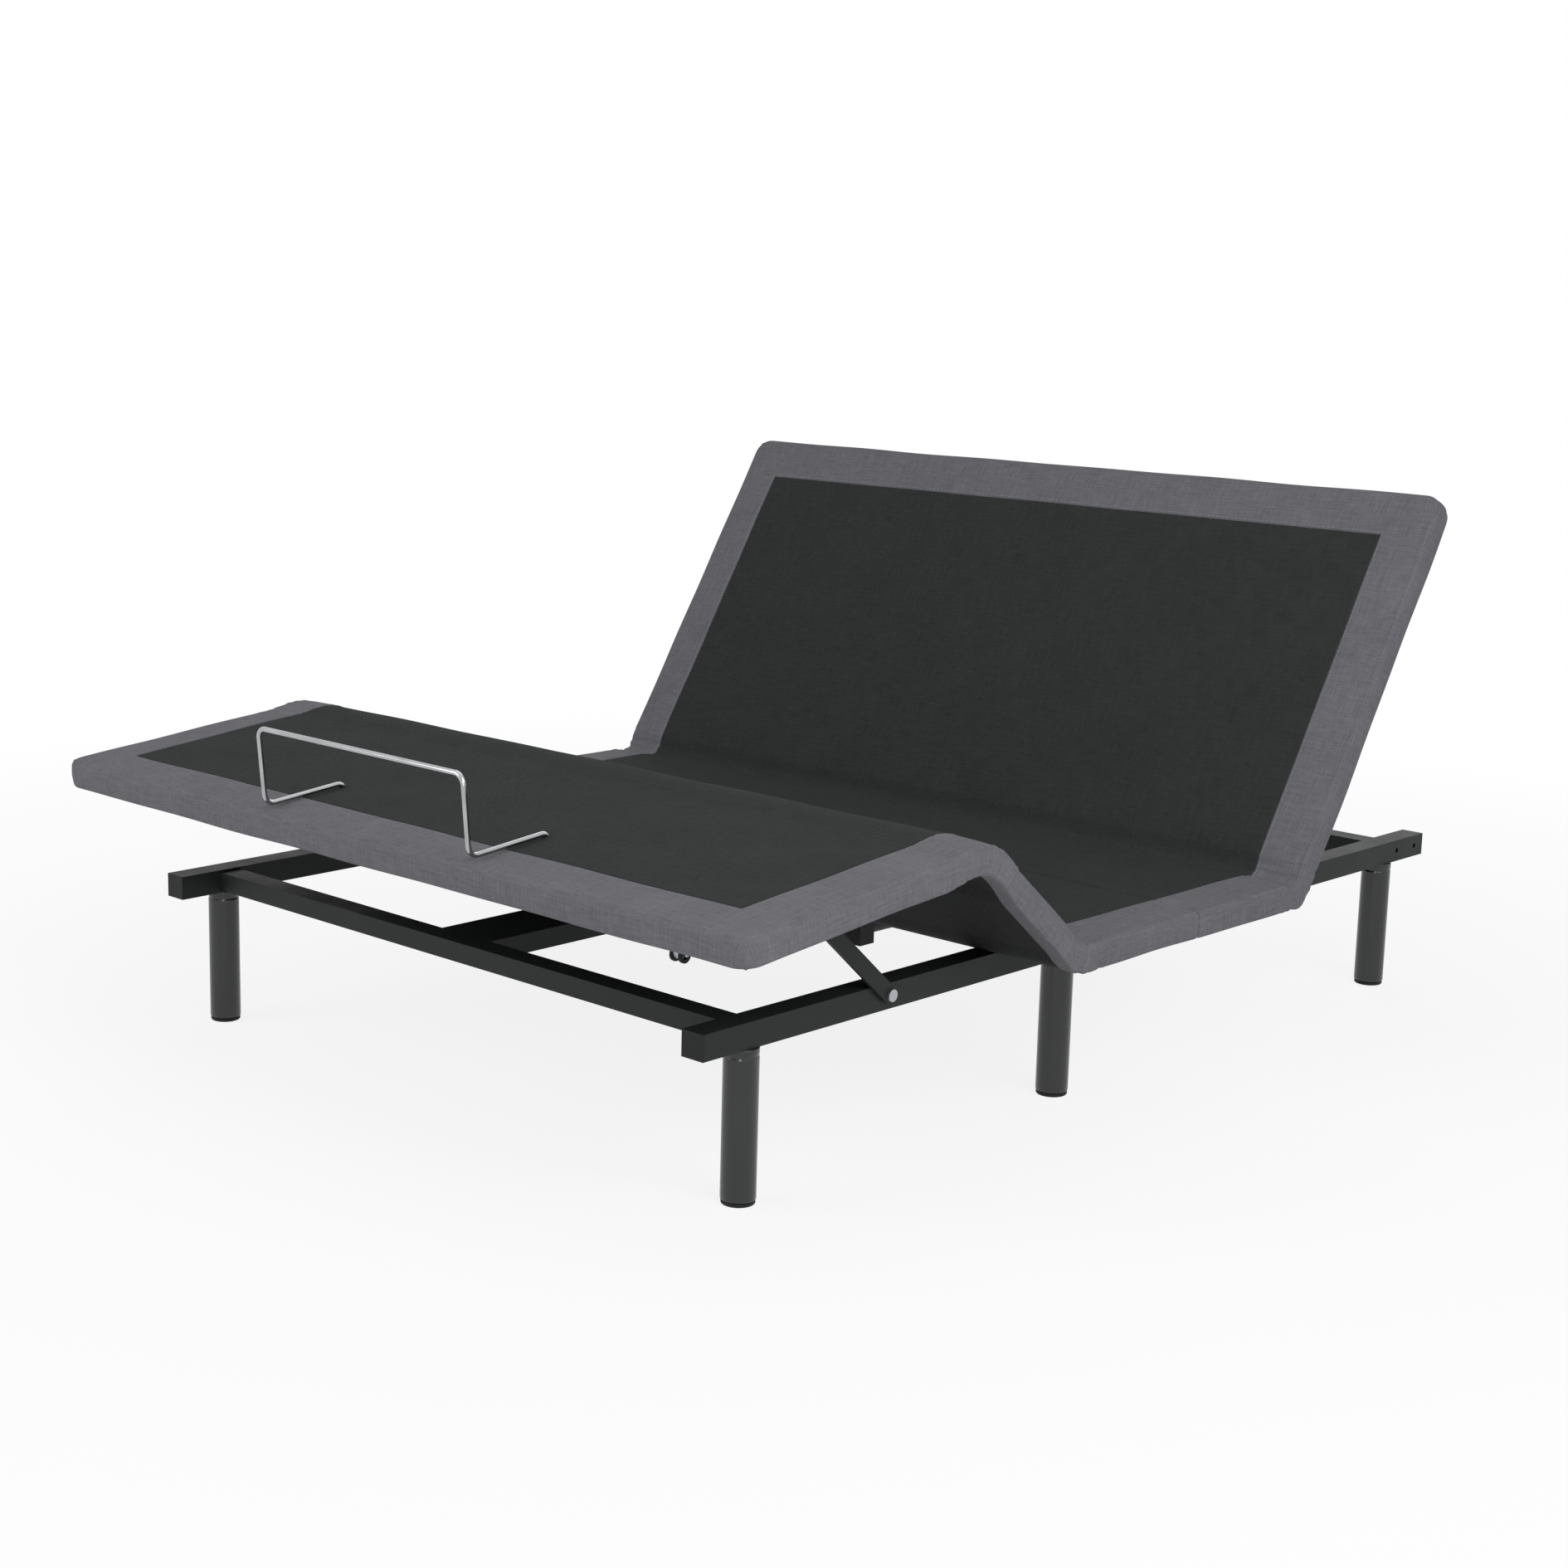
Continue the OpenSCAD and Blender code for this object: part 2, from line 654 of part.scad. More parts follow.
module head_torque_tube() {
    color(frame_black) translate([0, head_y, lift_z]) torque_tube(-90 + head_swing / 2, actuator_x);
}
module head_lift_arms() {
    color(frame_black) translate([0, head_y, lift_z]) both_sides() lift_arm(head_arm, head_arm_angle, 1);
}
module head_roller_right() {
    color(plastic_black) translate([0, head_y, lift_z]) lift_roller(head_arm, head_arm_angle, 1, 1);
}
module head_roller_left() {
    color(plastic_black) translate([0, head_y, lift_z]) lift_roller(head_arm, head_arm_angle, 1, -1);
}
module head_runners() {
    color(frame_black) on_head() both_sides()
        translate([roller_x - runner_w / 2, head_y + 100, moving_z - runner_t])
            cube([runner_w, head_arm, runner_t]);
}
module head_tube_hangers() { color(frame_black) translate([0, head_y, lift_z]) hangers(); }

module thigh_torque_tube() {
    color(frame_black) translate([0, thigh_y, lift_z]) torque_tube(-90 - thigh_swing / 2, -actuator_x);
}
module thigh_lift_arms() {
    color(frame_black) translate([0, thigh_y, lift_z]) both_sides() lift_arm(thigh_arm, thigh_arm_angle, -1);
}
module thigh_roller_right() {
    color(plastic_black) translate([0, thigh_y, lift_z]) lift_roller(thigh_arm, thigh_arm_angle, -1, 1);
}
module thigh_roller_left() {
    color(plastic_black) translate([0, thigh_y, lift_z]) lift_roller(thigh_arm, thigh_arm_angle, -1, -1);
}
module thigh_runners() {
    color(frame_black) on_thigh() both_sides()
        translate([roller_x - runner_w / 2, thigh_y - thigh_arm - 45, moving_z - runner_t])
            cube([runner_w, thigh_arm - 15, runner_t]);
}
module thigh_tube_hangers() { color(frame_black) translate([0, thigh_y, lift_z]) hangers(); }

module head_actuator() {
    color(plastic_black) translate([actuator_x, head_housing_y, rod_z]) actuator_housing();
}
module thigh_actuator() {
    color(plastic_black) translate([-actuator_x, thigh_housing_y, rod_z]) mirror([0, 1, 0]) actuator_housing();
}
module actuator_motors() {
    color(plastic_black) {
        translate([actuator_x, head_housing_y, rod_z]) motor(1);
        translate([-actuator_x, thigh_housing_y, rod_z]) mirror([0, 1, 0]) motor(-1);
    }
}
module actuator_brackets() {
    color(steel) {
        translate([actuator_x, head_clevis_y, rod_z]) actuator_bracket();
        translate([-actuator_x, thigh_clevis_y, rod_z]) actuator_bracket();
    }
}
module head_actuator_rod() {
    color(steel) translate([actuator_x, head_rod_y, rod_z]) actuator_rod(head_rod_travel);
}
module thigh_actuator_rod() {
    color(steel) translate([-actuator_x, thigh_rod_y, rod_z]) mirror([0, 1, 0]) actuator_rod(thigh_rod_travel);
}

module link_arm_right() {
    color(frame_black) translate([0, link_base_y, link_base_z]) rotate([link_angle, 0, 0]) difference() {
        plate_x(link_t, link_x) union() {
            translate([0, -link_w / 2]) square([link_len, link_w]);
            circle(d = link_w);
            translate([link_len, 0]) circle(d = link_w);
        }
        bar_x(link_pin_r + run_fit, link_t + 2 * eps, link_x);
        translate([0, link_len, 0]) bar_x(link_pin_r + link_gap, link_t + 2 * eps, link_x);
    }
}
module link_arm_left() { mirror([1, 0, 0]) link_arm_right(); }

module link_brackets() {
    ear_x = link_x + link_t / 2 + link_washer_t + link_ear_t / 2;
    pin_end = rail_out + 2 * rest_gap;
    color(frame_black) on_foot() both_sides() {
        plate_x(link_ear_t, ear_x) translate([link_flat[0], link_flat[1]]) union() {
            circle(r = 14);
            translate([-14, 0]) square([28, link_hang]);
        }
        translate([ear_x - link_ear_t / 2, link_flat[0] - 14, moving_z - 4]) cube([50, 28, 4]);
        translate([0, link_flat[0], link_flat[1]])
            bar_x(link_pin_r, ear_x - pin_end, (ear_x + pin_end) / 2);
    }
}

module link_bolts() {
    color(steel) both_sides() translate([0, link_base_y, link_base_z]) {
        bar_x(link_pin_r, rail_w + link_washer_t + link_t + side_gap, rail_x + (link_washer_t + link_t + side_gap) / 2);
        bar_x(link_pin_r + 5, link_washer_t - 0.2, rail_out + (link_washer_t - 0.2) / 2);
        bar_x(link_pin_r + 4, 4, rail_out + link_washer_t + link_t + side_gap + 2);
        bar_x(link_pin_r + 4, 5, rail_in - 2.5);
    }
}

module retainer_bar() { color(steel) on_foot() both_sides() retainer_half_wire(); }
module retainer_clamps() {
    color(plastic_black) on_foot() for (side = [-1, 1])
        translate([side * retainer_half, retainer_front + retainer_back, moving_z - clamp_t]) difference() {
            translate([-clamp_w / 2, -clamp_w / 2, 0]) cube([clamp_w, clamp_w, clamp_t]);
            translate([0, 0, -eps]) cylinder(r = wire_r + run_fit, h = clamp_t + 2 * eps);
        }
}

module control_box() {
    box_y = leg_mid_y + bar_d / 2 + 60;
    color(plastic_black) difference() {
        translate([-330, box_y, deck_z - 45]) cube([180, 120, 45]);
        translate([-300, box_y - eps, deck_z - 34]) cube([28, 12, 20]);
        for (slot = [0 : 3]) translate([-250 + slot * 22, box_y - eps, deck_z - 32]) cube([14, 10, 14]);
    }
}

right_rail();
left_rail();
rail_end_caps();
foot_crossbar();
mid_crossbar();
seat_crossbar();
head_crossbar();
foot_centre_beam();
seat_centre_beam();
head_centre_beam();
leg_foot_right();
leg_foot_left();
leg_mid_right();
leg_mid_left();
leg_head_right();
leg_head_left();
leg_studs();
leg_glides();
foot_board();
thigh_board();
seat_front_board();
seat_rear_board();
head_board();
foot_pad();
thigh_pad();
seat_front_pad();
seat_rear_pad();
head_pad();
head_hinge_seat_leaves();
head_hinge_head_leaves();
seat_hinge_seat_leaves();
seat_hinge_thigh_leaves();
knee_hinge_thigh_leaves();
knee_hinge_foot_leaves();
head_torque_tube();
head_lift_arms();
head_roller_right();
head_roller_left();
head_runners();
head_tube_hangers();
thigh_torque_tube();
thigh_lift_arms();
thigh_roller_right();
thigh_roller_left();
thigh_runners();
thigh_tube_hangers();
head_actuator();
thigh_actuator();
actuator_motors();
actuator_brackets();
head_actuator_rod();
thigh_actuator_rod();
link_arm_right();
link_arm_left();
link_brackets();
link_bolts();
retainer_bar();
retainer_clamps();
control_box();
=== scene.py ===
"""Adjustable bed base: upholstery, painted steel frame, mattress retainer bar and stage.

Frame: X across the bed, Y from the foot end to the head end, Z up, metres. Deck coordinates are used for the
upholstery: s runs along the flat deck from the foot end, n is the height above the flat deck's top face.
"""

import json
import math

import bpy
import numpy as np
from mathutils import Matrix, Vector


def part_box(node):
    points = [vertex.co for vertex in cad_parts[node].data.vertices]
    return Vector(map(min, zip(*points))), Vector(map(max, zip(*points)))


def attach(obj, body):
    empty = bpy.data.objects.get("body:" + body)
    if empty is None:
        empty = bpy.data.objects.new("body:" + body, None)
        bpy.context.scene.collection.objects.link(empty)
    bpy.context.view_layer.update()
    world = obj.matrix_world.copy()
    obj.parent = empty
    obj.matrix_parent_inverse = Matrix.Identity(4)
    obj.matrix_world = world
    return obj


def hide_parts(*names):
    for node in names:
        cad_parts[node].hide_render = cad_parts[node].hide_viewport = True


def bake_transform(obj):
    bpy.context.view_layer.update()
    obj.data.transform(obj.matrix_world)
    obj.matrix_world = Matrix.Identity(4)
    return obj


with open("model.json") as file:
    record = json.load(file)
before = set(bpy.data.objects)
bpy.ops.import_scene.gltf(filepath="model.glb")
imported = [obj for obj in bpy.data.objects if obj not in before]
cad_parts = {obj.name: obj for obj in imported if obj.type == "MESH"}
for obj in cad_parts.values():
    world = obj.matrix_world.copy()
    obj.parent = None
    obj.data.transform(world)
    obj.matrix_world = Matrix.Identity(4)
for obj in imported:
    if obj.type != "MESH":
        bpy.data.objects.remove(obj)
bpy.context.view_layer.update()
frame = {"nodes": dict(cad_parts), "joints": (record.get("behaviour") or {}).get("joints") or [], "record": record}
MM = 0.001

bl_info = {
    "name": "Adjustable bed base",
    "version": (1, 0, 0),
    "blender": (4, 5, 0),
    "location": "3D View > Sidebar > Bed base",
    "description": "Builds the upholstery, frame finishes, retainer bar and stage of an adjustable bed base",
    "category": "Object",
}

JOINTS = {j["name"]: j for j in frame["joints"]}


def swing(name):
    """The whole swing of a hinge between its two stops, in radians."""
    low, high = JOINTS[name]["range_deg"]
    return math.radians(high - low)


def turn(points, pivot, angle):
    """Points turned about the X line through pivot (y, z): y and z go round by angle, which may differ by point."""
    y, z = points[..., 1] - pivot[0], points[..., 2] - pivot[1]
    c, s = np.cos(angle), np.sin(angle)
    return np.stack([points[..., 0], pivot[0] + c * y - s * z, pivot[1] + s * y + c * z], -1)


HALF_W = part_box("seat_rear_pad")[1].x
DECK_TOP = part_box("seat_rear_pad")[1].z
DECK_T = DECK_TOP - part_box("seat_rear_pad")[0].z
HEAD_HINGE = tuple(JOINTS["head_raise"]["pos_m"][1:])
THIGH_HINGE = tuple(JOINTS["thigh_raise"]["pos_m"][1:])
KNEE_REST = tuple(JOINTS["knee_fold"]["pos_m"][1:])
HEAD_SWING, THIGH_SWING, KNEE_SWING = swing("head_raise"), swing("thigh_raise"), swing("knee_fold")
KNEE_FLAT = tuple(turn(np.array([0.0, *KNEE_REST]), THIGH_HINGE, THIGH_SWING)[1:])
DECK_LEN = 2.032
FOOT_END = -DECK_LEN / 2
KNEE_S = round(KNEE_FLAT[0] - FOOT_END, 4)
THIGH_S, HEAD_S = THIGH_HINGE[0] - FOOT_END, HEAD_HINGE[0] - FOOT_END
SEAT_S = round(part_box("seat_rear_pad")[0].y - 0.0005 - FOOT_END, 4)


def flat_to_foot(points):
    """Points on the foot section, given as they lie with the deck flat, at their raised place."""
    return turn(turn(points, KNEE_FLAT, KNEE_SWING), THIGH_HINGE, -THIGH_SWING)


# ---------------------------------------------------------------- settings


class BedSizes(bpy.types.PropertyGroup):
    """Sizes of the upholstery and the frame's visible details"""

    border: bpy.props.FloatProperty(
        name="Border width", description="Width of the woven border round the non-slip cloth", default=0.085,
        min=0.06, max=0.12, unit="LENGTH")
    corner: bpy.props.FloatProperty(
        name="Corner radius", description="Plan radius of the deck's outer corners", default=0.034,
        min=0.026, max=0.08, unit="LENGTH")
    crown: bpy.props.FloatProperty(
        name="Crown", description="How far the border falls from the cloth to its outer edge", default=0.0045,
        min=0.0, max=0.01, unit="LENGTH")
    pucker: bpy.props.FloatProperty(
        name="Pucker depth", description="Depth of the gathers where the cover turns over a hinge", default=0.0015,
        min=0.0, max=0.004, unit="LENGTH")
    wire: bpy.props.FloatProperty(
        name="Retainer wire radius", description="Radius of the mattress retainer bar's wire", default=0.004,
        min=0.003, max=0.006, unit="LENGTH")


class BedColours(bpy.types.PropertyGroup):
    """Colours of the finishes, as sRGB hex values"""

    border: bpy.props.StringProperty(name="Border weave", description="Grey polyester weave", default="6E6D71")
    cloth: bpy.props.StringProperty(name="Non-slip cloth", description="Charcoal non-slip cloth", default="353736")
    dust: bpy.props.StringProperty(name="Dust cloth", description="Black spunbond lining", default="181919")
    frame: bpy.props.StringProperty(name="Powder coat", description="Black powder coat", default="252727")
    legs: bpy.props.StringProperty(name="Leg paint", description="Satin black paint", default="191B1B")
    wire: bpy.props.StringProperty(name="Chrome", description="Bright chrome plate", default="B2B4B6")
    zinc: bpy.props.StringProperty(name="Zinc", description="Clear zinc plate", default="B4B7BA")
    plastic: bpy.props.StringProperty(name="Plastic", description="Black ABS", default="1D1E1F")


# ---------------------------------------------------------------- materials


def linear(code):
    """An sRGB hex value as linear RGBA."""
    c = np.array([int(code[i:i + 2], 16) / 255 for i in (0, 2, 4)])
    c = np.where(c <= 0.04045, c / 12.92, ((c + 0.055) / 1.055) ** 2.4)
    return (*[float(v) for v in c], 1.0)


def shade(code, factor):
    """The same colour, darker or lighter by factor in linear light."""
    r, g, b, a = linear(code)
    return (min(1, r * factor), min(1, g * factor), min(1, b * factor), a)


def add(tree, kind, links=None, **settings):
    """Adds a node. links maps an input's name or number to a socket, settings are properties, and
    a dict named values maps an input's name or number to a constant."""
    values = settings.pop("values", {})
    node = tree.nodes.new(kind)
    for key, value in settings.items():
        setattr(node, key, value)
    for key, value in values.items():
        node.inputs[key].default_value = value
    for key, socket in (links or {}).items():
        tree.links.new(socket, node.inputs[key])
    return node


def blank(name, **constants):
    """A new material with one Principled shader whose constant sockets are set."""
    material = bpy.data.materials.new(name)
    material.use_nodes = True
    tree = material.node_tree
    tree.nodes.clear()
    shader = add(tree, "ShaderNodeBsdfPrincipled", values={k.replace("_", " "): v for k, v in constants.items()})
    add(tree, "ShaderNodeOutputMaterial", {"Surface": shader.outputs[0]})
    return material, tree, shader


def ramp(tree, factor, stops):
    """A colour ramp with the given (place, colour) stops."""
    node = add(tree, "ShaderNodeValToRGB", {0: factor})
    elements = node.color_ramp.elements
    while len(elements) < len(stops):
        elements.new(0.5)
    for element, (place, colour) in zip(elements, stops):
        element.position, element.color = place, colour
    return node


def topstitch(tree, split):
    """Dashes of thread in the border, 4 mm outside the cloth's seam: along each side and across both ends. Each
    dash is 6 mm long with a 3 mm gap, and 1.4 mm wide, which is coarser than the real thread so that it shows."""
    line, border = HALF_W - 0.081, 0.081
    math_node = "ShaderNodeMath"
    side = add(tree, math_node, {0: split.outputs[0]}, operation="ABSOLUTE")
    on_side = add(tree, math_node, {0: side.outputs[0]}, operation="COMPARE", values={1: line, 2: 0.0007})
    in_length = add(tree, math_node, {0: split.outputs[1]}, operation="COMPARE",
                    values={1: DECK_LEN / 2, 2: DECK_LEN / 2 - border})
    centred = add(tree, math_node, {0: split.outputs[1]}, operation="SUBTRACT", values={1: DECK_LEN / 2})
    end = add(tree, math_node, {0: centred.outputs[0]}, operation="ABSOLUTE")
    on_end = add(tree, math_node, {0: end.outputs[0]}, operation="COMPARE",
                 values={1: DECK_LEN / 2 - border, 2: 0.0007})
    in_width = add(tree, math_node, {0: side.outputs[0]}, operation="LESS_THAN", values={1: line})
    rows = []
    for on, within, along in ((on_side, in_length, 1), (on_end, in_width, 0)):
        phase = add(tree, math_node, {0: split.outputs[along]}, operation="MULTIPLY", values={1: math.tau / 0.009})
        wave = add(tree, math_node, {0: phase.outputs[0]}, operation="SINE")
        dash = add(tree, math_node, {0: wave.outputs[0]}, operation="GREATER_THAN", values={1: -0.5})
        both = add(tree, math_node, {0: on.outputs[0], 1: within.outputs[0]}, operation="MULTIPLY")
        rows.append(add(tree, math_node, {0: both.outputs[0], 1: dash.outputs[0]}, operation="MULTIPLY"))
    return add(tree, math_node, {0: rows[0].outputs[0], 1: rows[1].outputs[0]}, operation="MAXIMUM").outputs[0]


def woven(name, code, pitch, spread, roughness, sheen, bump, slub=0.0, stitched=False):
    """Plain weave on the piece's own UV map, which is in metres: warp and weft are two crossed waves one
    pitch apart, and the yarns differ in shade by spread. The yarn pitch is drawn coarser than the real one, so
    that it shows at arm's length."""
    material, tree, shader = blank(name, Roughness=roughness, Sheen_Weight=sheen, Sheen_Roughness=0.5,
                                   Specular_IOR_Level=0.08)
    uv = add(tree, "ShaderNodeTexCoord")
    flat = uv.outputs["UV"]
    split = add(tree, "ShaderNodeSeparateXYZ", {0: flat})
    waves = []
    for axis in (0, 1):
        phase = add(tree, "ShaderNodeMath", {0: split.outputs[axis]}, operation="MULTIPLY",
                    values={1: math.tau / pitch})
        waves.append(add(tree, "ShaderNodeMath", {0: phase.outputs[0]}, operation="SINE"))
    over = add(tree, "ShaderNodeMath", {0: waves[0].outputs[0], 1: waves[1].outputs[0]}, operation="MULTIPLY")
    weave = add(tree, "ShaderNodeMath", {0: over.outputs[0]}, operation="MULTIPLY_ADD", values={1: 0.5, 2: 0.5})
    yarns = []
    for stretch in ((1 / 0.0035, 1 / 0.045, 1), (1 / 0.045, 1 / 0.0035, 1)):
        along = add(tree, "ShaderNodeMapping", {0: flat}, values={3: stretch})
        yarns.append(add(tree, "ShaderNodeTexNoise", {"Vector": along.outputs[0]}, noise_dimensions="2D",
                         values={"Scale": 1.0, "Detail": 3.0, "Roughness": 0.7}))
    both = add(tree, "ShaderNodeMix", {"Factor": weave.outputs[0], "A": yarns[0].outputs[0],
                                       "B": yarns[1].outputs[0]}, data_type="FLOAT")
    cloud = add(tree, "ShaderNodeTexNoise", {"Vector": flat}, noise_dimensions="2D",
                values={"Scale": 9.0, "Detail": 4.0, "Roughness": 0.6})
    mixed = add(tree, "ShaderNodeMath", {0: cloud.outputs[0], 2: both.outputs[0]}, operation="MULTIPLY_ADD",
                values={1: 0.2})
    tone = add(tree, "ShaderNodeMath", {0: mixed.outputs[0]}, operation="SUBTRACT", values={1: 0.1})
    colour = ramp(tree, tone.outputs[0], [(0.30, shade(code, 1 - spread)), (0.5, linear(code)),
                                          (0.70, shade(code, 1 + spread))])
    height = add(tree, "ShaderNodeMath", {0: both.outputs[0], 2: weave.outputs[0]}, operation="MULTIPLY_ADD",
                 values={1: slub})
    if stitched:
        thread = topstitch(tree, split)
        colour = add(tree, "ShaderNodeMix", {"Factor": thread, 6: colour.outputs[0]}, data_type="RGBA",
                     values={7: shade(code, 1.45)}).outputs[2].node
        height = add(tree, "ShaderNodeMath", {0: thread, 2: height.outputs[0]}, operation="MULTIPLY_ADD",
                     values={1: 1.5})
        tree.links.new(colour.outputs[2], shader.inputs["Base Color"])
    else:
        tree.links.new(colour.outputs[0], shader.inputs["Base Color"])
    relief = add(tree, "ShaderNodeBump", {"Height": height.outputs[0]}, values={"Strength": bump,
                                                                              "Distance": 0.0006})
    tree.links.new(relief.outputs[0], shader.inputs["Normal"])
    return material


def spunbond(name, code):
    """Spunbond polypropylene dust cloth: heat-bonded fibres, matte black with a fine dot emboss 4 mm apart."""
    material, tree, shader = blank(name, Roughness=0.9, Specular_IOR_Level=0.2)
    place = add(tree, "ShaderNodeTexCoord").outputs["Object"]
    dots = add(tree, "ShaderNodeTexVoronoi", {"Vector": place}, values={"Scale": 250.0, "Randomness": 0.1})
    fibre = add(tree, "ShaderNodeTexNoise", {"Vector": place}, values={"Scale": 120.0, "Detail": 4.0})
    colour = ramp(tree, fibre.outputs[0], [(0.3, shade(code, 0.7)), (0.7, shade(code, 1.35))])
    tree.links.new(colour.outputs[0], shader.inputs["Base Color"])
    relief = add(tree, "ShaderNodeBump", {"Height": dots.outputs["Distance"]}, values={"Strength": 0.35,
                                                                                    "Distance": 0.0004})
    tree.links.new(relief.outputs[0], shader.inputs["Normal"])
    return material


def coated(name, code, roughness, grain, depth, worn=0.12, shine=0.2):
    """Paint or moulded plastic over a surface whose grain is that many metres across, with slow changes of
    shade and gloss from handling. Powder coat has a fine orange peel, and moulded ABS a leather-fine texture."""
    material, tree, shader = blank(name, Specular_IOR_Level=shine)
    place = add(tree, "ShaderNodeTexCoord").outputs["Object"]
    peel = add(tree, "ShaderNodeTexNoise", {"Vector": place}, values={"Scale": 1 / grain, "Detail": 2.0})
    rub = add(tree, "ShaderNodeTexNoise", {"Vector": place}, values={"Scale": 11.0, "Detail": 5.0,
                                                                     "Roughness": 0.65})
    colour = ramp(tree, rub.outputs[0], [(0.3, shade(code, 1 - worn)), (0.55, linear(code)),
                                         (0.75, shade(code, 1 + 2 * worn))])
    tree.links.new(colour.outputs[0], shader.inputs["Base Color"])
    gloss = add(tree, "ShaderNodeMapRange", {"Value": rub.outputs[0]},
                values={"From Min": 0.3, "From Max": 0.7, "To Min": roughness - 0.06, "To Max": roughness + 0.08})
    tree.links.new(gloss.outputs[0], shader.inputs["Roughness"])
    relief = add(tree, "ShaderNodeBump", {"Height": peel.outputs[0]}, values={"Strength": depth,
                                                                            "Distance": 0.0003})
    tree.links.new(relief.outputs[0], shader.inputs["Normal"])
    return material


def plated(name, code, low, high, scale):
    """Electroplated steel: bright metal whose gloss drifts between low and high in patches."""
    material, tree, shader = blank(name, Metallic=1.0)
    place = add(tree, "ShaderNodeTexCoord").outputs["Object"]
    patch = add(tree, "ShaderNodeTexNoise", {"Vector": place}, values={"Scale": scale, "Detail": 3.0})
    colour = ramp(tree, patch.outputs[0], [(0.3, shade(code, 0.86)), (0.7, linear(code))])
    tree.links.new(colour.outputs[0], shader.inputs["Base Color"])
    gloss = add(tree, "ShaderNodeMapRange", {"Value": patch.outputs[0]},
                values={"From Min": 0.3, "From Max": 0.7, "To Min": low, "To Max": high})
    tree.links.new(gloss.outputs[0], shader.inputs["Roughness"])
    return material


def finishes():
    """The finishes by name, made once from the colours in the panel."""
    made = bpy.data.materials
    if "polyester_border_weave" not in made:
        c = bpy.context.scene.bed_colours
        # Melange polyester, plain woven: soft grey with lighter and darker yarns and almost no gloss
        woven("polyester_border_weave", c.border, 0.0042, 0.22, 0.92, 0.04, 0.55, slub=0.8, stitched=True)
        # Non-slip polyester with fine dots: flat charcoal that drinks the light
        woven("non_slip_cloth", c.cloth, 0.0036, 0.20, 0.95, 0.0, 0.45, slub=0.5)
        spunbond("spunbond_dust_cloth", c.dust)
        # Polyester powder coat on steel tube: satin black with a fine orange peel
        coated("powder_coat_black", c.frame, 0.52, 0.0012, 0.25)
        # Sprayed and baked satin paint on drawn tube: smoother, so the light draws one long streak
        coated("satin_leg_paint", c.legs, 0.18, 0.0025, 0.02, shine=0.6)
        # Moulded ABS: matte, faintly textured
        coated("moulded_abs_black", c.plastic, 0.55, 0.0008, 0.3, worn=0.08)
        plated("bright_chrome_plate", c.wire, 0.12, 0.22, 30.0)
        plated("clear_zinc_plate", c.zinc, 0.30, 0.46, 60.0)
    return made


SLOT_FINISH = {
    "frame_paint": "powder_coat_black", "leg_paint": "satin_leg_paint", "border_fabric": "polyester_border_weave",
    "board": "spunbond_dust_cloth", "zinc_steel": "clear_zinc_plate", "chrome_wire": "bright_chrome_plate",
    "black_plastic": "moulded_abs_black",
}


# ---------------------------------------------------------------- mesh helpers


def smooth(t):
    """Smoothstep: 3t^2 - 2t^3 with t held between 0 and 1."""
    t = np.clip(t, 0, 1)
    return t * t * (3 - 2 * t)


def piece(name, verts, faces, finish_names, slots=None, uv=None, sharp=40.0):
    """A mesh object at the origin from vertex and face arrays. slots gives each face's finish, and uv each
    vertex's place on the cloth in metres."""
    mesh = bpy.data.meshes.new(name)
    mesh.from_pydata(verts.tolist(), [], faces)
    mesh.validate()
    if slots is not None:
        mesh.polygons.foreach_set("material_index", np.asarray(slots, np.int32))
    if uv is not None:
        layer = mesh.uv_layers.new(name="cloth")
        loops = np.empty(len(mesh.loops), np.int32)
        mesh.loops.foreach_get("vertex_index", loops)
        layer.data.foreach_set("uv", uv[loops].astype(np.float32).ravel())
    mesh.shade_smooth()
    mesh.set_sharp_from_angle(angle=math.radians(sharp))
    mesh.update()
    made = finishes()
    for finish in finish_names:
        mesh.materials.append(made[finish])
    thing = bpy.data.objects.new(name, mesh)
    bpy.context.collection.objects.link(thing)
    return thing


def tube_faces(rings, around):
    """Quads between neighbouring rings of a tube, each ring around points long."""
    i = np.arange(rings - 1)[:, None]
    j = np.arange(around)[None, :]
    a, b = i * around + j, i * around + (j + 1) % around
    c, d = (i + 1) % rings * around + (j + 1) % around, (i + 1) % rings * around + j
    return np.stack([a, b, c, d], -1).reshape(-1, 4).tolist()


def lathe(profile, centre, around=72):
    """A solid of revolution about Z at centre (x, y): point (r, z) of the profile goes to
    (x + r cos a, y + r sin a, z). The profile runs from the bottom up, and its end rings are capped."""
    a = np.linspace(0, math.tau, around, endpoint=False)
    r, z = profile[:, 0, None], profile[:, 1, None]
    ring = np.stack([centre[0] + r * np.cos(a), centre[1] + r * np.sin(a), z + 0 * a], -1)
    faces = tube_faces(len(profile), around)
    faces.append(list(range(around))[::-1])
    faces.append([(len(profile) - 1) * around + k for k in range(around)])
    return ring.reshape(-1, 3), faces


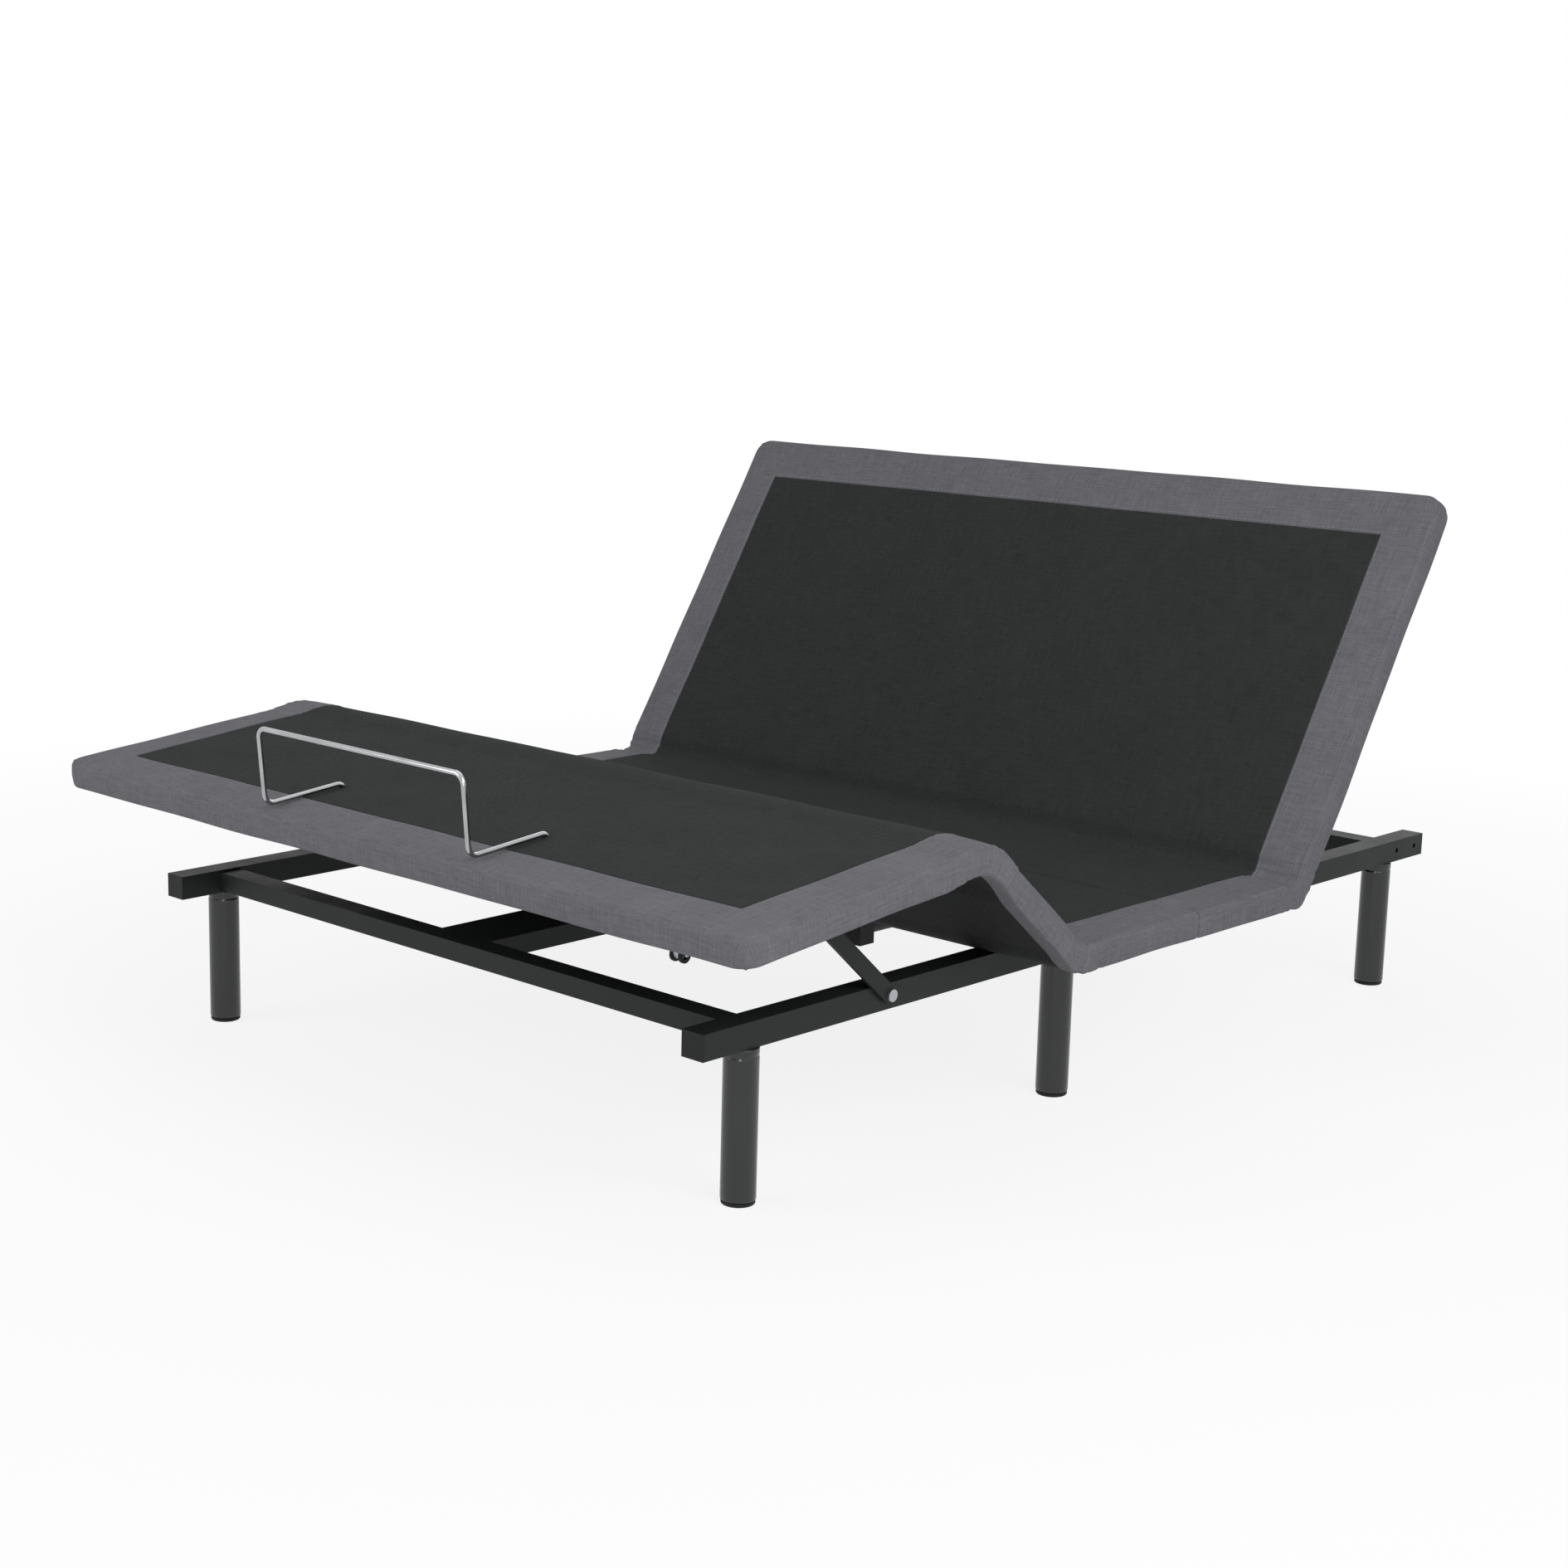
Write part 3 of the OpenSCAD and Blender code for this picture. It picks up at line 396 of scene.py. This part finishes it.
def sweep(path, section):
    """A section (outline of (a, b) offsets) carried along a path: each path point gets the outline in the
    plane across it, on axes carried along without twist. The ends are capped."""
    step = np.gradient(path, axis=0)
    tangent = step / np.linalg.norm(step, axis=1, keepdims=True)
    side = np.cross(tangent[0], [0.0, 0.0, 1.0])
    if np.linalg.norm(side) < 1e-3:
        side = np.array([1.0, 0.0, 0.0])
    sides = []
    for t in tangent:
        side = side - t * (side @ t)
        side = side / np.linalg.norm(side)
        sides.append(side)
    sides = np.array(sides)
    ups = np.cross(tangent, sides)
    rings = path[:, None] + section[None, :, 0, None] * sides[:, None] + section[None, :, 1, None] * ups[:, None]
    n = len(section)
    faces = tube_faces(len(path), n)
    faces.append(list(range(n))[::-1])
    faces.append([(len(path) - 1) * n + k for k in range(n)])
    return rings.reshape(-1, 3), faces


def circle(radius, around=24):
    """Outline of a circle, counter-clockwise."""
    a = np.linspace(0, math.tau, around, endpoint=False)
    return radius * np.stack([np.cos(a), np.sin(a)], -1)


def join(parts):
    """Several (vertices, faces) pairs as one."""
    verts, faces, count = [], [], 0
    for v, f in parts:
        verts.append(v)
        faces += [[k + count for k in face] for face in f]
        count += len(v)
    return np.concatenate(verts), faces


# ---------------------------------------------------------------- upholstery


def edge_profile(sizes):
    """The cover's section from the start of the corner zone, outwards over the edge and back underneath, as
    (outward place, height, normal out, normal up, length along the cloth). The top falls as a parabola, rolls
    over a 12 mm shoulder that carries the raised edge seam, goes down a slightly bulged side, round a 6 mm
    lower roll and back to where the dust cloth starts."""
    r = sizes.corner
    top = np.linspace(r, 0.013, 6)
    roll = np.linspace(0.12, math.pi / 2, 11)
    side = np.linspace(0, 1, 9)[1:]
    low = np.linspace(0, math.pi / 2, 6)[1:]
    under = np.linspace(0.007, r - 0.006, 4)[1:]
    crown = sizes.crown * (1 - top / sizes.border) ** 2
    edge = sizes.crown * (1 - 0.013 / sizes.border) ** 2
    d = np.concatenate([top, 0.013 - 0.0118 * np.sin(roll), 0.0012 * (1 - np.sin(math.pi * side)),
                        0.0072 - 0.006 * np.cos(low), under])
    n = np.concatenate([-crown, -edge - 0.0105 * (1 - np.cos(roll)),
                        -edge - 0.0105 + side * (-0.0402 + edge + 0.0105), -0.0402 - 0.006 * np.sin(low),
                        0 * under - 0.0462])
    out = r - d
    step = np.gradient(np.stack([out, n], -1), axis=0)
    step /= np.linalg.norm(step, axis=1, keepdims=True)
    length = np.concatenate([[0], np.cumsum(np.hypot(np.diff(out), np.diff(n)))])
    return out, n, -step[:, 1], step[:, 0], length


def stations(low, high, marks, coarse=0.018, fine=0.003, reach=0.055):
    """Places from low to high: a fine step within reach of each mark, a coarse one elsewhere."""
    places = [np.linspace(low, high, max(2, int((high - low) / coarse) + 1))]
    for mark in marks:
        near = np.arange(mark - reach, mark + reach + fine / 2, fine)
        places[0] = places[0][(places[0] < near[0] - fine) | (places[0] > near[-1] + fine)]
        places.append(near[(near > low) & (near < high)])
    return np.unique(np.round(np.concatenate([*places, [low, high]]), 5))


def cover_mesh(sizes, low, high, hinges, free, tucked):
    """One closed, padded cover lying flat between low and high. Rows run along s and columns across x, and a
    grid line past the corner zone carries on over the edge profile, so the whole upper cloth is one grid.
    Where a row and a column both go over the edge, the ring is the larger of the two lengths and its direction
    is set by their ratio, which rounds the corner. A second grid with the same rim is the dust cloth.
    free says which of the low and high ends go over an edge, and tucked which are pulled in to a seam."""
    free_low, free_high = free
    out, high_n, nout, nup, length = edge_profile(sizes)
    reach = length[-1]
    r = sizes.corner
    border, half = sizes.border, HALF_W
    seam = border + MM * np.array([-4, -2.4, -1.2, 0, 1.2, 2.4, 4])
    inner = np.unique(np.round(np.concatenate([np.linspace(0, half - 0.1, 22), half - seam,
                                               [half - 0.070, half - r]]), 5))
    rings = length[1:]
    cx = np.concatenate([-np.full(len(rings), half - r), -inner[::-1][:-1], inner, np.full(len(rings), half - r)])
    ca = np.concatenate([rings[::-1], np.zeros(2 * len(inner) - 1), rings])
    lo, hi = low + (r if free_low else 0), high - (r if free_high else 0)
    rows = stations(lo, hi, hinges)
    extra = []
    if free_low:
        extra.append(low + seam)
    if free_high:
        extra.append(high - seam)
    pulled = [end for end, is_tucked in zip(((low, 1), (high, -1)), tucked) if is_tucked]
    for place, direction in pulled:
        extra.append(place + direction * MM * np.array([0.6, 1.4, 2.4, 3.6, 5.0, 8.0]))
    rows = np.unique(np.round(np.concatenate([rows, *extra]), 5))
    ry, rb, rs = rows, np.zeros(len(rows)), np.zeros(len(rows))
    if free_low:
        ry = np.concatenate([np.full(len(rings), lo), ry])
        rb = np.concatenate([rings[::-1], rb])
        rs = np.concatenate([-np.ones(len(rings)), rs])
    if free_high:
        ry = np.concatenate([ry, np.full(len(rings), hi)])
        rb = np.concatenate([rb, rings])
        rs = np.concatenate([rs, np.ones(len(rings))])
    x0, a = np.broadcast_to(cx, (len(ry), len(cx))), np.broadcast_to(ca, (len(ry), len(cx)))
    s0, b = np.broadcast_to(ry[:, None], x0.shape), np.broadcast_to(rb[:, None], x0.shape)
    sx = np.sign(x0)
    ss = np.broadcast_to(rs[:, None], x0.shape)
    ring = np.maximum(a, b)
    safe = np.maximum(ring, 1e-9)
    angle = np.where(a >= b, math.pi / 4 * b / safe, math.pi / 2 - math.pi / 4 * a / safe)
    to_x, to_s = np.cos(angle) * sx, np.sin(angle) * ss
    rho, nn = np.interp(ring, length, out), np.interp(ring, length, high_n)
    n_out, n_up = np.interp(ring, length, nout), np.interp(ring, length, nup)
    from_side = half - np.abs(x0)
    from_end = np.minimum(s0 - low if free_low else 9.0, high - s0 if free_high else 9.0)
    d = np.minimum(from_side, from_end)
    inner_zone = ring <= 0
    nn = np.where(inner_zone, -sizes.crown * np.clip(1 - d / border, 0, 1) ** 2, nn)
    n_out, n_up = np.where(inner_zone, 0.0, n_out), np.where(inner_zone, 1.0, n_up)
    x, s = x0 + rho * to_x * (ring > 0), s0 + rho * to_s * (ring > 0)
    normal = np.stack([n_out * to_x, n_out * to_s, n_up], -1)
    # Stitched seam round the cloth: a groove 3 mm wide, with the border standing proud beside it
    groove = -0.0012 * np.exp(-((d - border) / 0.0016) ** 2) + 0.0008 * np.exp(-((d - border + 0.006) / 0.006) ** 2)
    lift = np.where(inner_zone, groove, 0.0)
    # Raised edge seam where the top panel is sewn to the side band
    lift = lift + 0.0018 * np.exp(-((ring - length[9]) / 0.0026) ** 2) * (ring > 0)
    # Sewn corner of the side band
    lift = lift + 0.0014 * np.exp(-((angle - math.pi / 4) * np.maximum(rho, 0.01) / 0.0020) ** 2) \
        * (a > length[7]) * (b > length[7])
    # Slow unevenness of foam under stretched cloth
    lift = lift + 0.0007 * (np.sin(17 * s + 5 * x) * np.sin(11 * x + 2) + 0.6 * np.sin(29 * s - 23 * x + 1)) * \
        np.where(ring > length[-4], 0, 1)
    # Gathers where the cover turns over a hinge, strongest on the border and the side band
    band = smooth((np.abs(x) - (half - border - 0.05)) / 0.08)
    for at in hinges:
        near = np.exp(-((s - at) / 0.042) ** 2)
        folds = 0.6 * np.sin((s - at) * math.tau / 0.019 + 5 * np.sin(40 * nn) + 3 * x) \
            + 0.5 * np.sin((s - at) * math.tau / 0.031 + 9 * x + 4 * np.sin(23 * x)) \
            + 0.3 * np.sin((s - at) * math.tau / 0.0125 - 60 * nn)
        lift = lift + sizes.pucker * near * folds * (0.12 + 0.88 * band) * (1.0 if len(hinges) == 1 else 0.45) * np.where(ring > length[-4], 0.2, 1)
    # Cut ends pulled in to a 5 mm roll where two covers meet at a seam
    for place, direction in pulled:
        t = np.clip(1 - (s - place) * direction / 0.007, 0, 1)
        lift = lift - 0.0050 * (1 - np.sqrt(1 - t * t * 0.999))
    top = np.stack([x, s + FOOT_END, DECK_TOP + nn], -1) + lift[..., None] * normal
    # Dust cloth: same plan as the rim it is stapled to, half a millimetre up inside it
    rim = out[-1]
    share = ring / reach
    low_n = high_n[-1] + 0.0006 * (1 - share ** 4)
    under = np.stack([x0 + rim * share * to_x, s0 + rim * share * to_s + FOOT_END, DECK_TOP + low_n], -1)
    rows_n, cols_n = x0.shape
    index = np.arange(rows_n * cols_n).reshape(rows_n, cols_n)
    shared = np.zeros(index.shape, bool)
    shared[:, [0, -1]] = True
    shared[0] |= free_low
    shared[-1] |= free_high
    low_index = np.where(shared, index, rows_n * cols_n + np.cumsum(~shared).reshape(index.shape) - 1)
    verts = np.concatenate([top.reshape(-1, 3), under[~shared]])
    # The cloth map carries on by the cloth's own length past the edge, so the yarns aren't stretched there
    flat_uv = np.stack([x0 + sx * a, s0 + ss * b], -1)
    uv = np.concatenate([flat_uv.reshape(-1, 2), flat_uv[~shared]])

    def quads(k):
        return np.stack([k[:-1, :-1], k[:-1, 1:], k[1:, 1:], k[1:, :-1]], -1).reshape(-1, 4)

    upper, lower = quads(index), quads(low_index)[:, ::-1]
    mid = (slice(None, -1), slice(None, -1))
    cloth = (np.abs(x0[mid] + x0[:-1, 1:]) / 2 < half - border) & (ring[mid] + ring[1:, 1:] <= 0)
    mean_s = (s0[:-1, :-1] + s0[1:, :-1]) / 2
    if free_low:
        cloth &= mean_s > low + border
    if free_high:
        cloth &= mean_s < high - border
    slots = np.concatenate([np.where(cloth.ravel(), 1, 0), np.full(len(lower), 2)])
    faces = upper.tolist() + lower.tolist()
    ends = []
    if not free_low:
        ends += [[int(v) for v in q] for q in np.stack([index[0, :-1], low_index[0, :-1], low_index[0, 1:],
                                                        index[0, 1:]], -1)]
    if not free_high:
        ends += [[int(v) for v in q] for q in np.stack([index[-1, 1:], low_index[-1, 1:], low_index[-1, :-1],
                                                        index[-1, :-1]], -1)]
    ends = [list(dict.fromkeys(q)) for q in ends]
    faces += ends
    slots = np.concatenate([slots, np.zeros(len(ends), int)])
    return verts, faces, slots, uv


def bend_weights(place, start, end, rounds=260):
    """Finds for each flat point the share of the turn it takes, so that the share worked out again from its
    bent place is the same. place(w) gives the bent points for shares w. The share is the smoothstep of the
    bent point's place along start to end, and each round moves half way to it."""
    along = end - start
    w = smooth(((place(0.0) - start) @ along) / (along @ along))
    for _ in range(rounds):
        w = 0.5 * w + 0.5 * smooth(((place(w) - start) @ along) / (along @ along))
    return w


def deck_point(s, n=0.0):
    """A point on the flat deck's middle line."""
    return np.array([0.0, s + FOOT_END, DECK_TOP + n])


UPHOLSTERY_FINISH = ("polyester_border_weave", "non_slip_cloth", "spunbond_dust_cloth")
CUT_S = 0.620
KNEE_REACH, THIGH_REACH, HEAD_REACH = 0.082, 0.058, 0.036


class BED_OT_foot_cover(bpy.types.Operator):
    """Padded cover of the foot section and the lower half of the thigh section, bending over the knee"""

    bl_idname = "bed.foot_cover"
    bl_label = "Foot cover"

    def execute(self, context):
        sizes = context.scene.bed_sizes
        verts, faces, slots, uv = cover_mesh(sizes, 0.0, CUT_S, (KNEE_S - 0.05, KNEE_S, KNEE_S + 0.05),
                                             free=(True, False), tucked=(False, False))

        def place(w):
            return turn(turn(verts, KNEE_FLAT, w * KNEE_SWING), THIGH_HINGE, -THIGH_SWING)

        start = turn(deck_point(KNEE_S + KNEE_REACH, -0.023), THIGH_HINGE, -THIGH_SWING)
        end = flat_to_foot(deck_point(KNEE_S - KNEE_REACH, -0.023))
        thing = piece("cover_foot", place(bend_weights(place, start, end)), faces, UPHOLSTERY_FINISH, slots, uv)
        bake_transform(thing)
        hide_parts("foot_pad", "foot_board", "thigh_pad", "thigh_board")
        return {"FINISHED"}


class BED_OT_seat_cover(bpy.types.Operator):
    """Padded cover of the front seat section and the upper half of the thigh section"""

    bl_idname = "bed.seat_cover"
    bl_label = "Seat cover"

    def execute(self, context):
        sizes = context.scene.bed_sizes
        verts, faces, slots, uv = cover_mesh(sizes, CUT_S, SEAT_S, (THIGH_S,),
                                             free=(False, False), tucked=(False, True))

        def place(w):
            return turn(verts, THIGH_HINGE, -THIGH_SWING * w)

        start = deck_point(THIGH_S + THIGH_REACH, -0.012)
        end = turn(deck_point(THIGH_S - THIGH_REACH, -0.012), THIGH_HINGE, -THIGH_SWING)
        thing = piece("cover_seat", place(bend_weights(place, start, end)), faces, UPHOLSTERY_FINISH, slots, uv)
        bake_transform(thing)
        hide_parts("seat_front_pad", "seat_front_board", "thigh_pad", "thigh_board")
        return {"FINISHED"}


class BED_OT_head_cover(bpy.types.Operator):
    """Padded cover of the rear seat section and the head section, bending at the head hinge"""

    bl_idname = "bed.head_cover"
    bl_label = "Head cover"

    def execute(self, context):
        sizes = context.scene.bed_sizes
        verts, faces, slots, uv = cover_mesh(sizes, SEAT_S, DECK_LEN, (HEAD_S,),
                                             free=(False, True), tucked=(True, False))

        def place(w):
            return turn(verts, HEAD_HINGE, HEAD_SWING * w)

        start = deck_point(HEAD_S - HEAD_REACH, -0.012)
        end = turn(deck_point(HEAD_S + HEAD_REACH, -0.012), HEAD_HINGE, HEAD_SWING)
        thing = piece("cover_head", place(bend_weights(place, start, end)), faces, UPHOLSTERY_FINISH, slots, uv)
        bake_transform(thing)
        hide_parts("seat_rear_pad", "seat_rear_board", "head_pad", "head_board")
        return {"FINISHED"}


# ---------------------------------------------------------------- frame


class BED_OT_legs(bpy.types.Operator):
    """Six round tube legs with rolled ends, and the domed glides under them"""

    bl_idname = "bed.legs"
    bl_label = "Legs and glides"

    def execute(self, context):
        glides = []
        for place in ("foot", "mid", "head"):
            for side in ("right", "left"):
                low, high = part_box(f"leg_{place}_{side}")
                centre, r = ((low.x + high.x) / 2, (low.y + high.y) / 2), (high.x - low.x) / 2
                q = np.linspace(0, math.pi / 2, 7)
                up = low.z + 0.003 * (1 - np.cos(q))
                body = [np.stack([r - 0.003 + 0.003 * np.sin(q), up], -1),
                        np.stack([np.full(5, r), np.linspace(low.z + 0.012, high.z - 0.016, 5)], -1),
                        # A shallow bead 14 mm below the rail, where the tube is swaged round its top plug
                        np.stack([r - 0.0007 * np.sin(np.linspace(0, math.pi, 7)),
                                  np.linspace(high.z - 0.014, high.z - 0.009, 7)], -1),
                        np.stack([r - 0.0015 + 0.0015 * np.cos(q), high.z - 0.0015 + 0.0015 * np.sin(q)], -1)]
                verts, faces = lathe(np.concatenate(body), centre)
                leg = piece(f"tube_leg_{place}_{side}", verts, faces, ("satin_leg_paint",))
                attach(leg, "base")
                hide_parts(f"leg_{place}_{side}")
                dome = np.stack([r - 0.0035 + 0.0025 * np.sin(q), 0.0025 * (1 - np.cos(q))], -1)
                glides.append(lathe(np.concatenate([[[0.004, 0.0]], dome, [[r - 0.001, low.z - 0.0002],
                                                                           [0.004, low.z - 0.0001]]]), centre))
        verts, faces = join(glides)
        pads = piece("floor_glides", verts, faces, ("moulded_abs_black",))
        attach(pads, "base")
        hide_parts("leg_glides")
        return {"FINISHED"}


class BED_OT_retainer(bpy.types.Operator):
    """Bent chrome wire that keeps the mattress from sliding off the foot end"""

    bl_idname = "bed.retainer"
    bl_label = "Mattress retainer bar"

    def execute(self, context):
        r = context.scene.bed_sizes.wire
        low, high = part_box("retainer_bar")
        half, lift, bend, back = high.x - 0.004, 0.006, 0.016, 0.150
        front_y = FOOT_END + 0.014
        wire_z, foot_z = DECK_TOP + lift, DECK_TOP - DECK_T - 0.0115
        top_z = wire_z + 0.118
        q = np.linspace(0, 1, 9) * math.pi / 2
        c, s = np.cos(q), np.sin(q)
        leg = [np.array([[half, front_y + back, foot_z], [half, front_y + back, wire_z - bend - 0.001]]),
               np.stack([0 * q + half, front_y + back - bend * (1 - c), wire_z - bend + bend * s], -1),
               np.stack([0 * q + half, front_y + bend - bend * s, wire_z + bend - bend * c], -1),
               np.array([[half, front_y, wire_z + 0.06]]),
               np.stack([half - bend * (1 - c), 0 * q + front_y, top_z - bend + bend * s], -1),
               np.array([[0.1, front_y, top_z]])]
        right = np.concatenate(leg)
        path = np.concatenate([right, right[::-1] * [-1, 1, 1]])
        verts, faces = sweep(path, circle(r))
        bar = piece("retainer_wire", flat_to_foot(verts), faces, ("bright_chrome_plate",), sharp=60)
        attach(bar, "foot_section")
        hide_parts("retainer_bar")
        return {"FINISHED"}


class BED_OT_finishes(bpy.types.Operator):
    """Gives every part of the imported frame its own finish"""

    bl_idname = "bed.finishes"
    bl_label = "Frame finishes"

    def execute(self, context):
        made = finishes()
        slot_of = {entry["node"]: entry["material_slot"] for entry in frame["record"]["subparts"]}
        for name, node in frame["nodes"].items():
            slot = slot_of.get(name)
            if slot not in SLOT_FINISH:
                raise RuntimeError(f"no finish is known for {name} ({slot})")
            node.data.materials.clear()
            node.data.materials.append(made[SLOT_FINISH[slot]])
        return {"FINISHED"}


# ---------------------------------------------------------------- stage


class BED_OT_stage(bpy.types.Operator):
    """Pale floor, soft lamps, white surroundings and the camera"""

    bl_idname = "bed.stage"
    bl_label = "Stage"

    def execute(self, context):
        scene = context.scene
        scene.view_settings.view_transform = "Standard"
        self.surroundings(scene)
        self.floor(context)
        self.lamps(context)
        self.camera(scene)
        return {"FINISHED"}

    def surroundings(self, scene):
        """White where the camera, a mirror or glass looks past the object, and a soft dim grey as a light."""
        world = bpy.data.worlds.new("studio")
        scene.world = world
        world.use_nodes = True
        tree = world.node_tree
        tree.nodes.clear()
        rays = add(tree, "ShaderNodeLightPath")
        seen = add(tree, "ShaderNodeMath", {0: rays.outputs["Is Camera Ray"], 1: rays.outputs["Is Glossy Ray"]},
                   operation="MAXIMUM")
        seen = add(tree, "ShaderNodeMath", {0: seen.outputs[0], 1: rays.outputs["Is Transmission Ray"]},
                   operation="MAXIMUM")
        dim = add(tree, "ShaderNodeBackground", values={0: (0.95, 0.97, 1.0, 1.0), 1: 0.30})
        white = add(tree, "ShaderNodeBackground", values={0: (1.0, 1.0, 1.0, 1.0), 1: 1.0})
        both = add(tree, "ShaderNodeMixShader", {0: seen.outputs[0], 1: dim.outputs[0], 2: white.outputs[0]})
        add(tree, "ShaderNodeOutputWorld", {"Surface": both.outputs[0]})

    def floor(self, context):
        """A round floor whose white is its own to the camera, which keeps a soft shadow near the object and
        fades it out by 3 m from the middle."""
        a = np.linspace(0, math.tau, 97)[:-1]
        rings = np.array([0.0001, 1.0, 2.0, 3.0, 8.0, 40.0])
        verts = np.stack([rings[:, None] * np.cos(a), rings[:, None] * np.sin(a), 0 * rings[:, None] + 0 * a - 0.0002],
                         -1).reshape(-1, 3)
        faces = tube_faces(len(rings), len(a))
        faces.append(list(range(len(a))))
        mesh = bpy.data.meshes.new("floor")
        mesh.from_pydata(verts.tolist(), [], [f[::-1] if k < len(faces) - 1 else f for k, f in enumerate(faces)])
        floor = bpy.data.objects.new("floor", mesh)
        context.collection.objects.link(floor)
        material = bpy.data.materials.new("matt_white_floor")
        material.use_nodes = True
        tree = material.node_tree
        tree.nodes.clear()
        place = add(tree, "ShaderNodeTexCoord").outputs["Object"]
        far = add(tree, "ShaderNodeVectorMath", {0: place}, operation="LENGTH")
        fade = add(tree, "ShaderNodeMapRange", {"Value": far.outputs["Value"]},
                   values={"From Min": 1.2, "From Max": 3.0, "To Min": 0.86, "To Max": 1.0})
        rays = add(tree, "ShaderNodeLightPath")
        seen = add(tree, "ShaderNodeMath", {0: rays.outputs["Is Camera Ray"], 1: rays.outputs["Is Glossy Ray"]},
                   operation="MAXIMUM")
        seen = add(tree, "ShaderNodeMath", {0: seen.outputs[0], 1: rays.outputs["Is Transmission Ray"]},
                   operation="MAXIMUM")
        share = add(tree, "ShaderNodeMath", {0: fade.outputs[0], 1: seen.outputs[0]}, operation="MULTIPLY")
        paint = add(tree, "ShaderNodeBsdfDiffuse", values={0: (0.86, 0.86, 0.86, 1.0)})
        white = add(tree, "ShaderNodeEmission", values={0: (1.0, 1.0, 1.0, 1.0), 1: 1.0})
        both = add(tree, "ShaderNodeMixShader", {0: share.outputs[0], 1: paint.outputs[0], 2: white.outputs[0]})
        add(tree, "ShaderNodeOutputMaterial", {"Surface": both.outputs[0]})
        mesh.materials.append(material)

    def lamps(self, context):
        """Soft boxes over the right side, the foot end, the middle and the back, and an upright strip that draws the
        long streak on the round legs."""
        for name, place, size, watts in (
            ("soft_box_right", (3.4, -1.0, 2.6), 2.2, 70.0),
            ("soft_box_front", (-1.6, -3.6, 2.0), 2.2, 46.0),
            ("soft_box_over", (0.0, 0.2, 4.2), 3.0, 15.0),
            ("strip_light", (2.5, -3.3, 0.7), 0.8, 16.0),
            ("soft_box_back", (-2.6, 3.4, 2.6), 2.4, 34.0),
        ):
            lamp = bpy.data.lights.new(name, "AREA")
            lamp.shape, lamp.size, lamp.size_y, lamp.energy = "RECTANGLE", size, max(size, 1.6), watts
            thing = bpy.data.objects.new(name, lamp)
            aim = Matrix.Translation((0, 0, 0.35)).translation - Matrix.Translation(place).translation
            thing.matrix_world = Matrix.Translation(place) @ aim.to_track_quat("-Z", "Y").to_matrix().to_4x4()
            context.collection.objects.link(thing)

    def camera(self, scene):
        """The camera stands off the right foot corner at chest height, looking a little down."""
        yaw, pitch, roll = math.radians(44.73), math.radians(11.43), math.radians(0.98)
        ahead = np.array([-math.sin(yaw) * math.cos(pitch), math.cos(yaw) * math.cos(pitch), -math.sin(pitch)])
        right = np.array([math.cos(yaw), math.sin(yaw), 0.0])
        up = np.cross(right, ahead)
        right, up = right * math.cos(roll) + up * math.sin(roll), up * math.cos(roll) - right * math.sin(roll)
        data = bpy.data.cameras.new("camera")
        data.sensor_width, data.lens = 36.0, 60.16
        data.shift_x = 0.0767
        data.clip_end = 200.0
        thing = bpy.data.objects.new("camera", data)
        scene.collection.objects.link(thing)
        turned = Matrix((right.tolist(), up.tolist(), (-ahead).tolist())).transposed().to_4x4()
        thing.matrix_world = Matrix.Translation((2.8812, -3.2635, 1.2593)) @ turned
        scene.camera = thing


# ---------------------------------------------------------------- panel and running


class BED_PT_panel(bpy.types.Panel):
    """Lists the pieces of the bed base with their sizes and colours"""

    bl_label = "Bed base"
    bl_idname = "BED_PT_panel"
    bl_space_type = "VIEW_3D"
    bl_region_type = "UI"
    bl_category = "Bed base"

    def draw(self, context):
        for operator in OPERATORS:
            self.layout.operator(operator.bl_idname)
        for group in (context.scene.bed_sizes, context.scene.bed_colours):
            box = self.layout.box()
            for key in group.__annotations__:
                box.prop(group, key)


OPERATORS = (BED_OT_finishes, BED_OT_foot_cover, BED_OT_seat_cover, BED_OT_head_cover, BED_OT_legs,
             BED_OT_retainer, BED_OT_stage)
CLASSES = (BedSizes, BedColours, *OPERATORS, BED_PT_panel)


def register():
    for item in CLASSES:
        bpy.utils.register_class(item)
    bpy.types.Scene.bed_sizes = bpy.props.PointerProperty(type=BedSizes)
    bpy.types.Scene.bed_colours = bpy.props.PointerProperty(type=BedColours)


def unregister():
    del bpy.types.Scene.bed_colours
    del bpy.types.Scene.bed_sizes
    for item in reversed(CLASSES):
        bpy.utils.unregister_class(item)


def main():
    """Builds every piece in order."""
    register()
    for operator in OPERATORS:
        group, name = operator.bl_idname.split(".")
        getattr(getattr(bpy.ops, group), name)()


if __name__ == "__main__":
    main()
